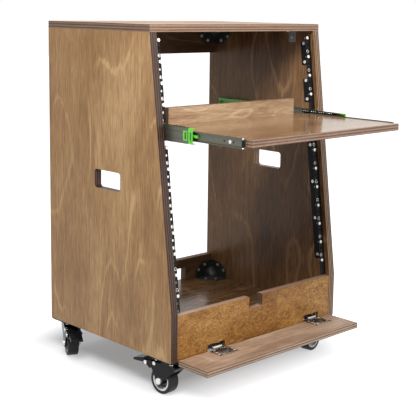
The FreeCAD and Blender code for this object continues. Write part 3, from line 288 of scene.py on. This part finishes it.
# How far the surface turns before it counts as an end, as a face, or as the inner face with painted shade.
END_SPAN = (0.4, 0.8)
SIDE_SPAN = (0.55, 0.75)
INNER_SHADE_SPAN = (0.3, 0.7)


def edge_colour(tree, place, facing, face, grain, tones, end_shade):
    """Glued layers of light and dark wood, with streaks that run along the edge, and darker end grain."""
    scales = [EDGE_ALONG] * 3
    scales[face] = EDGE_ACROSS
    streak = layer_of(tree, place, (scales, *EDGE_STREAK))
    layer = spread_of(tree, ripples_of(tree, place[face], 1 / LAYER_THICKNESS), LAYER_SPAN)
    grit = layer_of(tree, place, EDGE_GRIT)
    tone = sum_of(tree, 0.0, zip((streak, layer, grit), EDGE_SHARES))
    ends = spread_of(tree, math_of(tree, "ABSOLUTE", facing[grain]), END_SPAN, (0.0, 1.0 - end_shade))
    return mix_of(tree, ends, ramp_of(tree, tone, EDGE_STOPS, tones), BLACK)


def flame_tone(tree, across, along, depth, wild, figure):
    """The tone of a sliced veneer, with its streaks and fibres: nested lines and bands over clouds."""
    place = (across, along, depth)
    shifted = math_of(tree, "MULTIPLY_ADD", layer_of(tree, place, JAG), JAG_REACH, along)
    scales = (FIELD_ACROSS * wild, FIELD_ALONG * wild, 1.0)
    field = layer_of(tree, (across, shifted, depth), (scales, *FIELD))
    line = spread_of(tree, ripples_of(tree, field, LINE_COUNT), LINE_SPAN)
    where = spread_of(tree, layer_of(tree, place, LINE_PLACES), LINE_PLACES_SPAN)
    line = math_of(tree, "MULTIPLY", line, where)
    band = ripples_of(tree, field, BAND_COUNT)
    streak, short, cloud, fibre = [layer_of(tree, place, layer)
                                   for layer in (STREAK, SHORT_STREAK, CLOUD, FIBRE)]
    tone = sum_of(tree, TONE_START, (
        (line, LINE_SHARE * figure), (band, BAND_SHARE * figure), (streak, STREAK_SHARE),
        (short, SHORT_SHARE), (cloud, CLOUD_SHARE), (fibre, FIBRE_SHARE)))
    return tone, streak, fibre


def burl_tone(tree, across, along, depth):
    """The tone of a wild golden veneer, with its curls and eyes: ripples and small dark eyes over clouds."""
    curl, eyes, cloud = [layer_of(tree, (along, across, depth), layer) for layer in (CURL, EYES, BURL_CLOUD)]
    ripple = ripples_of(tree, curl, CURL_RIPPLES)
    tone = sum_of(tree, TONE_START, zip((ripple, curl, eyes, cloud), BURL_SHARES))
    return tone, curl, eyes


def plywood(name, face, grain, tones, edges, roughness, seed, wild=1.0, figure=1.0, inner=None,
            inner_sign=0, coat=0.0, burl=False, specular=0.25, end_shade=0.75):
    """A board whose faces lie across one axis and whose grain runs along another.

    The seed moves the veneer to another part of the noise, wild packs its lines closer and figure makes them
    stronger. The face on the side of inner_sign has the darker tones in inner: painted shade of the inside.
    End grain keeps end_shade of its light.
    """
    material, tree, shader = new_material(name)
    place = coordinates_of(tree, "Object")
    facing = coordinates_of(tree, "Normal")
    cross = X + Y + Z - face - grain
    along = math_of(tree, "ADD", place[grain], seed)
    across = math_of(tree, "ADD", place[cross], seed * SEED_ACROSS_SHARE)
    depth = math_of(tree, "MULTIPLY_ADD", place[face], DEPTH_SHARE, seed)
    if burl:
        tone, coarse, fine = burl_tone(tree, across, along, depth)
    else:
        tone, coarse, fine = flame_tone(tree, across, along, depth, wild, figure)
    colour = ramp_of(tree, tone, TONE_STOPS, tones)
    # Painted shade: the inner face gets darker tones, for the shade inside the cabinet.
    if inner is not None:
        inside = ramp_of(tree, tone, TONE_STOPS, inner)
        span = [inner_sign * limit for limit in INNER_SHADE_SPAN]
        colour = mix_of(tree, spread_of(tree, facing[face], span), colour, inside)
    pore = spread_of(tree, layer_of(tree, (across, along, depth), PORE), PORE_SPAN)
    strength = math_of(tree, "MULTIPLY", pore, PORE_STRENGTH)
    colour = mix_of(tree, strength, colour, PORE_COLOUR, "MULTIPLY")
    side = spread_of(tree, math_of(tree, "ABSOLUTE", facing[face]), SIDE_SPAN)
    colour = mix_of(tree, side, edge_colour(tree, place, facing, face, grain, edges, end_shade), colour)
    tree.links.new(colour, shader.inputs["Base Color"])
    add_roughness(tree, shader, coarse, WOOD_SPAN, roughness, WOOD_CHANGES)
    shader.inputs["Specular IOR Level"].default_value = specular
    shader.inputs["Coat Weight"].default_value = coat
    shader.inputs["Coat Roughness"].default_value = COAT_ROUGHNESS
    add_relief(tree, shader, sum_of(tree, 0.0, zip((pore, fine), RELIEF_SHARES)), *WOOD_RELIEF)
    return material


# Metals, plastics and rubber. A noise gives its scale, detail, roughness and distortion, apart from what the
# material works out. A relief gives its strength and its depth in metres.
MIDDLE_SPAN = (0.3, 0.7)
GRAIN_SCALE = 260.0
BRUSHED_SCALE = 9.0
GRAIN = (3.0, 0.6, 0.0)
METAL_CLOUD = (34.0, 3.0, 0.6, 0.6)
METAL_CONTRAST = 1.6
METAL_STOPS = (0.4, 1.6)
METAL_CHANGES = (-0.06, 0.08)
METAL_RELIEF = (0.12, 0.00015)
PLASTIC_CLOUD = (22.0, 3.0, 0.55)
PLASTIC_TEXTURE = (2.0, 0.6)
PLASTIC_CHANGES = (-0.05, 0.08)
PLASTIC_RELIEF_DEPTH = 0.0002
LIGHT_REACH = (0.002, 0.002, 0.001)


def metal(name, colour, roughness, metallic, mottle, brush=None, rounding=0.0004, specular=0.5):
    """A plated, painted or brushed metal, mottled by a fine grain and soft clouds.

    Brush is the axis that a brushed grain runs along.
    """
    material, tree, shader = new_material(name)
    place = coordinates_of(tree, "Object")
    scales = [GRAIN_SCALE] * 3
    if brush is not None:
        scales[brush] = BRUSHED_SCALE
    grain = layer_of(tree, place, (scales, *GRAIN))
    cloud = noise_of(tree, vector_of(tree, *place), *METAL_CLOUD)
    shade = sum_of(tree, 0.0, ((cloud, mottle), (grain, mottle)))
    stops = [stop * mottle for stop in METAL_STOPS]
    mottled = ramp_of(tree, shade, stops, shades_of(colour, METAL_CONTRAST * mottle))
    tree.links.new(mottled, shader.inputs["Base Color"])
    add_roughness(tree, shader, cloud, MIDDLE_SPAN, roughness, METAL_CHANGES)
    shader.inputs["Metallic"].default_value = metallic
    shader.inputs["Specular IOR Level"].default_value = specular
    add_relief(tree, shader, grain, *METAL_RELIEF, rounding)
    return material


def moulded(name, colour, roughness, texture=300.0, strength=0.15, subsurface=0.0, variation=0.1,
            rounding=0.0005, specular=0.5):
    """A moulded plastic or rubber with a fine texture and soft clouds."""
    material, tree, shader = new_material(name)
    vector = vector_of(tree, *coordinates_of(tree, "Object"))
    cloud = noise_of(tree, vector, *PLASTIC_CLOUD)
    fine = noise_of(tree, vector, texture, *PLASTIC_TEXTURE)
    clouded = ramp_of(tree, cloud, MIDDLE_SPAN, shades_of(colour, variation))
    tree.links.new(clouded, shader.inputs["Base Color"])
    add_roughness(tree, shader, fine, MIDDLE_SPAN, roughness, PLASTIC_CHANGES)
    shader.inputs["Specular IOR Level"].default_value = specular
    shader.inputs["Subsurface Weight"].default_value = subsurface
    shader.inputs["Subsurface Radius"].default_value = LIGHT_REACH
    add_relief(tree, shader, fine, strength, PLASTIC_RELIEF_DEPTH, rounding)
    return material


# The hubs: a white ring from a radius in metres outwards, around a black middle. The relief gives its
# strength, its depth and its rounding.
RING_FROM = 0.0172
RING_BLEND = 0.0006
RING_TONES = ((0.70, 0.70, 0.69), (0.80, 0.80, 0.79))
HUB_BLACK = (0.010, 0.010, 0.011)
HUB_GRIT = (180.0, 2.0, 0.6)
HUB_ROUGHNESS = 0.31
HUB_CHANGES = (-0.05, 0.05)
HUB_RELIEF = (0.06, 0.0002, 0.0005)
spins = {joint["child"]: joint for joint in frame["joints"] if joint["name"].endswith("_spin")}


def hub_finish(corner):
    """A hub with a white ring along its rim, set by the distance from its axle."""
    material, tree, shader = new_material("hub_" + corner + "_plastic")
    spin = spins["wheel_" + corner]
    place = vector_of(tree, *coordinates_of(tree, "Object"))
    offset = vector_math_of(tree, "SUBTRACT", place, spin["pos_m"])
    turned_offset = vector_math_of(tree, "CROSS_PRODUCT", offset.outputs[0], spin["axis"])
    distance = vector_math_of(tree, "LENGTH", turned_offset.outputs[0]).outputs["Value"]
    grit = noise_of(tree, place, *HUB_GRIT)
    white = ramp_of(tree, grit, MIDDLE_SPAN, RING_TONES)
    ring = spread_of(tree, distance, (RING_FROM, RING_FROM + RING_BLEND))
    tree.links.new(mix_of(tree, ring, HUB_BLACK, white), shader.inputs["Base Color"])
    add_roughness(tree, shader, grit, MIDDLE_SPAN, HUB_ROUGHNESS, HUB_CHANGES)
    add_relief(tree, shader, grit, *HUB_RELIEF)
    return material


# Dark, middle and light tones of each veneer and of each kind of edge.
OUTER_TONES = ((0.218, 0.112, 0.043), (0.318, 0.181, 0.078), (0.470, 0.296, 0.142))
# Painted shade: the inner tones are the outer birch made darker, for the shade inside the cabinet.
INNER_SHADE_TONES = ((0.092, 0.041, 0.014), (0.184, 0.093, 0.037), (0.325, 0.188, 0.088))
# Painted shade: the rear tones are the birch made darker still, for the shade inside the cabinet.
REAR_SHADE_TONES = ((0.072, 0.038, 0.017), (0.130, 0.073, 0.037), (0.205, 0.122, 0.066))
TOP_TONES = ((0.220, 0.125, 0.068), (0.340, 0.205, 0.118), (0.470, 0.305, 0.190))
GOLD_TONES = ((0.165, 0.060, 0.009), (0.300, 0.136, 0.028), (0.490, 0.265, 0.080))
SHELF_TONES = ((0.185, 0.096, 0.043), (0.285, 0.167, 0.086), (0.395, 0.248, 0.142))
BACK_TONES = ((0.280, 0.162, 0.080), (0.440, 0.292, 0.170), (0.600, 0.430, 0.280))
PALE_TONES = ((0.255, 0.155, 0.100), (0.390, 0.262, 0.180), (0.530, 0.385, 0.285))
DARK_EDGE = ((0.020, 0.009, 0.006), (0.048, 0.023, 0.015), (0.105, 0.058, 0.040))
RIGHT_EDGE = ((0.050, 0.024, 0.012), (0.190, 0.108, 0.056), (0.360, 0.226, 0.136))
TOP_EDGE = ((0.130, 0.066, 0.040), (0.255, 0.150, 0.096), (0.370, 0.240, 0.165))
KICK_EDGE = ((0.240, 0.125, 0.075), (0.400, 0.235, 0.155), (0.560, 0.370, 0.265))
PALE_EDGE = ((0.150, 0.085, 0.052), (0.320, 0.205, 0.135), (0.480, 0.345, 0.245))

# The finish of each CAD node: first the boards, then all that is metal, plastic or rubber.
finishes = {
    "side_panel_left": plywood("side_left_wood", X, Z, OUTER_TONES, DARK_EDGE, roughness=0.40, seed=0.31,
                               inner=INNER_SHADE_TONES, inner_sign=1),
    "side_panel_right": plywood("side_right_wood", X, Z, OUTER_TONES, RIGHT_EDGE, roughness=0.30, seed=2.7,
                                inner=INNER_SHADE_TONES, inner_sign=-1),
    "top_panel": plywood("top_wood", Z, X, TOP_TONES, TOP_EDGE, roughness=0.40, seed=1.3,
                         inner=INNER_SHADE_TONES, inner_sign=-1, end_shade=0.55),
    # Painted shade: the bottom takes the darker inner tones on all its faces, for the shade inside the
    # cabinet.
    "bottom_panel": plywood("bottom_wood", Z, X, INNER_SHADE_TONES, DARK_EDGE, roughness=0.20, seed=4.1,
                            specular=0.5),
    "kick_board": plywood("kick_wood", Y, X, GOLD_TONES, KICK_EDGE, roughness=0.36, seed=5.2, burl=True,
                          end_shade=0.3),
    "rear_top_rail": plywood("rear_top_wood", Y, X, REAR_SHADE_TONES, DARK_EDGE, roughness=0.50, seed=6.6,
                             specular=0.20),
    "rear_bottom_rail": plywood("rear_bottom_wood", Y, X, REAR_SHADE_TONES, RIGHT_EDGE, roughness=0.50, seed=7.7,
                                specular=0.20),
    "shelf_board": plywood("shelf_wood", Z, X, SHELF_TONES, TOP_EDGE, roughness=0.14, seed=8.8, wild=1.2,
                           figure=0.6, coat=0.05, specular=0.30),
    "shelf_back_board": plywood("shelf_back_wood", Y, X, BACK_TONES, TOP_EDGE, roughness=0.38, seed=9.4,
                                wild=1.4, figure=0.8),
    "flap_board": plywood("flap_wood", Z, X, PALE_TONES, PALE_EDGE, roughness=0.40, seed=10.5, wild=1.3,
                          figure=0.5),
}
# Each metal's colour, roughness, metallic share and mottle.
rail = metal("rail_black", (0.0060, 0.0062, 0.0068), 0.48, 0.0, 0.30, rounding=0.0006, specular=0.14)
zinc = metal("zinc_plate", (0.20, 0.21, 0.205), 0.38, 1.0, 0.16, rounding=0.0012)
bracket = metal("bracket_steel", (0.040, 0.046, 0.044), 0.36, 0.35, 0.20, rounding=0.0014)
bright = metal("bright_plate", (0.74, 0.73, 0.70), 0.26, 0.55, 0.06)
chrome = metal("chrome_plate", (0.86, 0.86, 0.85), 0.16, 0.6, 0.04, rounding=0.0003)
slide = metal("slide_plate", (0.132, 0.132, 0.106), 0.38, 0.85, 0.10, brush=Y)
nickel = metal("nickel_plate", (0.40, 0.36, 0.33), 0.20, 1.0, 0.10, rounding=0.0006)
black_paint = metal("black_paint", (0.0055, 0.0058, 0.0072), 0.28, 0.0, 0.10, rounding=0.0009, specular=0.14)
# Each plastic's colour and roughness.
green = moulded("green_plastic", (0.115, 0.52, 0.035), 0.26, texture=260.0, strength=0.10,
                subsurface=0.12, rounding=0.0009)
# Painted shade: a darker green for the shade in the clip's grooves.
green_painted_shade = moulded("clip_groove_painted_shade", (0.020, 0.110, 0.012), 0.40, texture=260.0, strength=0.10)
cage = moulded("cage_plastic", (0.010, 0.010, 0.011), 0.5, specular=0.12)
rubber = moulded("rubber", (0.0075, 0.0075, 0.0085), 0.46, texture=420.0, strength=0.22, variation=0.15,
                 rounding=0.0008, specular=0.28)

for side in SIDES:
    for level in ("upper", "lower"):
        finishes["rack_rail_%s_%s" % (level, side)] = rail
    for part in ("outer", "middle", "inner"):
        finishes["slide_%s_%s" % (part, side)] = slide
    finishes["slide_clip_" + side] = green
    finishes["slide_lever_" + side] = green
    finishes["ball_cage_" + side] = cage
    finishes["balls_" + side] = bright
for corner in CORNERS:
    finishes["fork_" + corner] = black_paint
    finishes["brake_lever_" + corner] = black_paint
    finishes["axle_" + corner] = bright
    finishes["tyre_" + corner] = rubber
    finishes["hub_" + corner] = hub_finish(corner)
finishes.update({
    "slide_guides": green, "corner_brackets": bracket, "angle_brackets": zinc, "wood_screws": bright,
    "rack_screws": bright, "shelf_screws": bright, "cup_screws": bright, "caster_screws": bright,
    "hinge_arms": nickel, "hinge_pins": nickel, "hinge_cups": nickel, "caster_plates": black_paint,
})
for name, piece in frame["nodes"].items():
    piece.data.materials.clear()
    piece.data.materials.append(finishes[name])


# Small pieces in mesh code, with sizes and places in millimetres. Each rides the body that carries it.
MM = 0.001
CORNER_STEPS = 3


def add_piece(name, points, faces, material, body, slot):
    """A mesh that rides a body and takes a material. The slot is not used."""
    mesh = bpy.data.meshes.new(name)
    mesh.from_pydata([Vector(point) * MM for point in points], [], faces)
    mesh.materials.append(material)
    piece = bpy.data.objects.new(name, mesh)
    scene.collection.objects.link(piece)
    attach(piece, body)


def skin(rings, closed):
    """Points and faces of rings of equal count: joined end to end, or with a cap on the first and last."""
    count = len(rings[0])
    points = [point for ring in rings for point in ring]
    faces = []
    for row in range(len(rings) if closed else len(rings) - 1):
        here = row * count
        there = (row + 1) % len(rings) * count
        for step in range(count):
            after = (step + 1) % count
            faces.append((here + step, here + after, there + after, there + step))
    if not closed:
        faces.append(tuple(range(count))[::-1])
        faces.append(tuple(range(len(points) - count, len(points))))
    return points, faces


def turned(centre, axis, profile, steps, closed):
    """A turned shape, whose profile lists radius and height along the axis."""
    axis = Vector(axis).normalized()
    first = axis.orthogonal().normalized()
    second = axis.cross(first)
    around = []
    for step in range(steps):
        angle = math.tau * step / steps
        around.append(first * math.cos(angle) + second * math.sin(angle))
    rings = [[Vector(centre) + axis * height + radius * way for way in around] for radius, height in profile]
    return skin(rings, closed)


def plate(x_near, x_far, y_low, y_high, z_low, z_high, corner):
    """A plate that faces along X, with rounded corners and a small chamfer on its far face."""
    chamfer = min(corner, abs(x_far - x_near)) / 2
    centres = ((y_high - corner, z_high - corner), (y_low + corner, z_high - corner),
               (y_low + corner, z_low + corner), (y_high - corner, z_low + corner))
    x_middle = x_far + math.copysign(chamfer, x_near - x_far)
    rings = []
    for x, inset in ((x_near, 0.0), (x_middle, 0.0), (x_far, chamfer)):
        ring = []
        for quarter, (y, z) in enumerate(centres):
            for part in range(CORNER_STEPS + 1):
                angle = (quarter + part / CORNER_STEPS) * math.pi / 2
                reach = corner - inset
                ring.append((x, y + reach * math.cos(angle), z + reach * math.sin(angle)))
        rings.append(ring)
    return skin(rings, False)


def gathered(parts):
    """Several meshes as one."""
    points = []
    faces = []
    for more_points, more_faces in parts:
        start = len(points)
        points += list(more_points)
        faces += [tuple(start + index for index in face) for face in more_faces]
    return points, faces


# Bright rings in the rack holes, a painted glint on their rims. The slanted front has a foot, in Y and Z,
# and a run back and a rise over its length. Each rail has a start along the slope and a count of units.
SLOPE_FOOT = (-119.0, 185.5)
SLOPE_RUN = 74.0
SLOPE_RISE = 582.0
SLOPE_LENGTH = math.hypot(SLOPE_RUN, SLOPE_RISE)
RACK_UNIT = 44.45
FIRST_HOLE = 6.35
RAILS = ((-0.164, 8), (399.886, 4))
HOLE_COLUMN = 232.5
RAIL_FACE = 11.3
GLINT_RING_PROFILE = ((2.85, -0.05), (3.9, -0.05), (3.9, 0.3), (3.6, 0.6), (3.1, 0.6), (2.85, 0.35))
GLINT_RING_STEPS = 20


def add_glint_rings(side, sign):
    """Bright rings that paint the glint on the rim of the first hole of each unit but the lowest of a rail.
    """
    parts = []
    for start, units in RAILS:
        for unit in range(1, units):
            up = start + unit * RACK_UNIT + FIRST_HOLE
            y = SLOPE_FOOT[0] + (up * SLOPE_RUN + RAIL_FACE * SLOPE_RISE) / SLOPE_LENGTH
            z = SLOPE_FOOT[1] + (up * SLOPE_RISE - RAIL_FACE * SLOPE_RUN) / SLOPE_LENGTH
            outward = (0, -SLOPE_RISE, SLOPE_RUN)
            parts.append(turned((sign * HOLE_COLUMN, y, z), outward, GLINT_RING_PROFILE, GLINT_RING_STEPS, True))
    add_piece("glint_rings_" + side, *gathered(parts), bright, "cabinet", "bright_screws")


# The dark strip of each ball cage along the top of the slide, with its row of bright balls in groups.
STRIP_BACK = 234.4
STRIP_FACE = 232.9
STRIP_Z = (573.8, 580.4)
STRIP_CORNER = 0.9
ROW_FROM = -124.0
ROW_TO = -27.0
ROW_HEIGHT = 577.2
ROW_FACE = 232.95
ROW_GROUPS = 4
GROUP_BALLS = 3
BALL_STEP = 6.6
DOME = ((1.35, -0.1), (1.3, 0.35), (1.1, 0.8), (0.6, 1.15), (0.15, 1.25))
DOME_STEPS = 14


def add_ball_row(side, sign):
    """A ball cage's visible strip and the balls that stand a little out of it."""
    strip = plate(sign * STRIP_BACK, sign * STRIP_FACE, ROW_FROM, ROW_TO, *STRIP_Z, STRIP_CORNER)
    add_piece("cage_strip_" + side, *strip, cage, "cage_" + side, "cage_plastic")
    group_long = (ROW_TO - ROW_FROM) / ROW_GROUPS
    domes = []
    for group in range(ROW_GROUPS):
        for ball in range(GROUP_BALLS):
            y = ROW_FROM + (group + 0.5) * group_long + (ball - 1) * BALL_STEP
            domes.append(turned((sign * ROW_FACE, y, ROW_HEIGHT), (-sign, 0, 0), DOME, DOME_STEPS, False))
    add_piece("ball_row_" + side, *gathered(domes), chrome, "cage_" + side, "bright_screws")


# Thin darker fields of painted shade in the grooves of each green clip: their lowest and highest Y, lowest
# and highest Z, and corner.
GROOVE_BACK = 243.0
GROOVE_FACE = 243.28
GROOVES = ((-136.8, -131.2, 556.0, 570.8, 1.2), (-142.6, -139.6, 553.8, 573.0, 0.9),
           (-151.4, -147.0, 555.4, 571.4, 1.2))


def add_clip_groove_shade(side, sign):
    """Darker fields of painted shade in the green clip's grooves, between its brighter ribs."""
    fields = [plate(sign * GROOVE_BACK, sign * GROOVE_FACE, *groove) for groove in GROOVES]
    add_piece("clip_groove_shade_" + side, *gathered(fields), green_painted_shade, "middle_" + side, "green_plastic")


# The front end of each inner channel, with a dark block of painted shade in its open end.
END_BACK = 236.0
CHANNEL_SHADE_FACE = 239.15
CHANNEL_SHADE_SPAN = (-293.4, -288.4, 556.4, 570.4)
CHANNEL_SHADE_CORNER = 1.2
TAB_FACE = 239.3
TAB_Y = (-293.4, -290.2)
TAB_FEET = (552.9, 571.0)
TAB_TALL = 2.9
TAB_CORNER = 1.0


def add_slide_end(side, sign):
    """A dark block of painted shade in the inner channel's open front end, between two bright rolled tabs.
    """
    # Painted shade: a dark block fills the channel's open front end.
    channel_shade = plate(sign * END_BACK, sign * CHANNEL_SHADE_FACE, *CHANNEL_SHADE_SPAN, CHANNEL_SHADE_CORNER)
    add_piece("slide_channel_shade_" + side, *channel_shade, cage, "shelf", "cage_plastic")
    tabs = [plate(sign * END_BACK, sign * TAB_FACE, *TAB_Y, foot, foot + TAB_TALL, TAB_CORNER)
            for foot in TAB_FEET]
    add_piece("slide_tabs_" + side, *gathered(tabs), chrome, "shelf", "bright_screws")


for side, sign in SIDES.items():
    add_glint_rings(side, sign)
    add_ball_row(side, sign)
    add_clip_groove_shade(side, sign)
    add_slide_end(side, sign)

# Floor, background and lamps, in metres. The floor has a painted shadow below the cabinet, in a square
# around its centre, and fades to white outside it.
FLOOR_REACH = 12.0
FLOOR_COLOUR = (0.40, 0.40, 0.41, 1.0)
FLOOR_ROUGHNESS = 0.9
SHADE_CENTRE = (0.0, 0.17)
SHADE_HALF = 0.20
FADE = 0.16
SHADE_GLOW = 0.26
WORLD_LIGHT = 0.30

# Each lamp's name, place, the height that it faces, its side and its power.
LAMPS = (
    ("key", (-1.3, -1.0, 1.95), 0.5, 0.9, 57),
    ("fill", (1.8, -2.8, 1.6), 0.4, 2.2, 40),
    ("overhead", (0.2, 0.6, 3.4), 0.4, 2.4, 34),
)


def seen_of(tree):
    """1 for what is seen, also in a gloss or through glass, and 0 for light that falls on the object."""
    path = tree.nodes.new("ShaderNodeLightPath")
    seen = math_of(tree, "MAXIMUM", path.outputs["Is Camera Ray"], path.outputs["Is Glossy Ray"])
    return math_of(tree, "MAXIMUM", seen, path.outputs["Is Transmission Ray"])


def outside_of(tree, value, centre, half):
    """How far a value lies outside a span around a centre, and 0 inside it."""
    away = math_of(tree, "ABSOLUTE", math_of(tree, "SUBTRACT", value, centre))
    return math_of(tree, "MAXIMUM", math_of(tree, "SUBTRACT", away, half), 0.0)


def add_floor():
    """A pale floor that keeps the real shadow and has a painted shadow below the cabinet."""
    mesh = bpy.data.meshes.new("floor")
    reach = FLOOR_REACH
    corners = [(-reach, -reach, 0), (reach, -reach, 0), (reach, reach, 0), (-reach, reach, 0)]
    mesh.from_pydata(corners, [], [(0, 1, 2, 3)])
    floor = bpy.data.objects.new("floor", mesh)
    scene.collection.objects.link(floor)
    material, tree, shader = new_material("floor_paper")
    shader.inputs["Base Color"].default_value = FLOOR_COLOUR
    shader.inputs["Roughness"].default_value = FLOOR_ROUGHNESS
    place = coordinates_of(tree, "Object")
    beside, before = [outside_of(tree, place[axis], SHADE_CENTRE[axis], SHADE_HALF) for axis in (X, Y)]
    away = vector_math_of(tree, "LENGTH", vector_of(tree, beside, before, 0.0)).outputs["Value"]
    # Painted shadow: what is seen of the floor glows less in the square below the cabinet.
    glow = spread_of(tree, away, (0.0, FADE), (SHADE_GLOW, 1.0))
    tree.links.new(math_of(tree, "MULTIPLY", seen_of(tree), glow), shader.inputs["Emission Strength"])
    shader.inputs["Emission Color"].default_value = WHITE
    mesh.materials.append(material)


def add_world():
    """A white background that lights the object only softly."""
    world = bpy.data.worlds.new("studio")
    world.use_nodes = True
    scene.world = world
    tree = world.node_tree
    tree.nodes.clear()
    output = tree.nodes.new("ShaderNodeOutputWorld")
    mixed = tree.nodes.new("ShaderNodeMixShader")
    tree.links.new(seen_of(tree), mixed.inputs[0])
    for socket, strength in zip(mixed.inputs[1:3], (WORLD_LIGHT, 1.0)):
        background = tree.nodes.new("ShaderNodeBackground")
        background.inputs["Color"].default_value = WHITE
        background.inputs["Strength"].default_value = strength
        tree.links.new(background.outputs[0], socket)
    tree.links.new(mixed.outputs[0], output.inputs["Surface"])


def add_lamp(name, place, height, side, power):
    """A soft square lamp that faces a height on the cabinet's middle line."""
    data = bpy.data.lights.new(name, "AREA")
    data.shape = "SQUARE"
    data.size = side
    data.energy = power
    lamp = bpy.data.objects.new(name, data)
    scene.collection.objects.link(lamp)
    lamp.location = place
    lamp.rotation_euler = (Vector((0, 0, height)) - Vector(place)).to_track_quat("-Z", "Y").to_euler()


add_floor()
add_world()
for lamp_values in LAMPS:
    add_lamp(*lamp_values)
scene.view_settings.view_transform = "Standard"
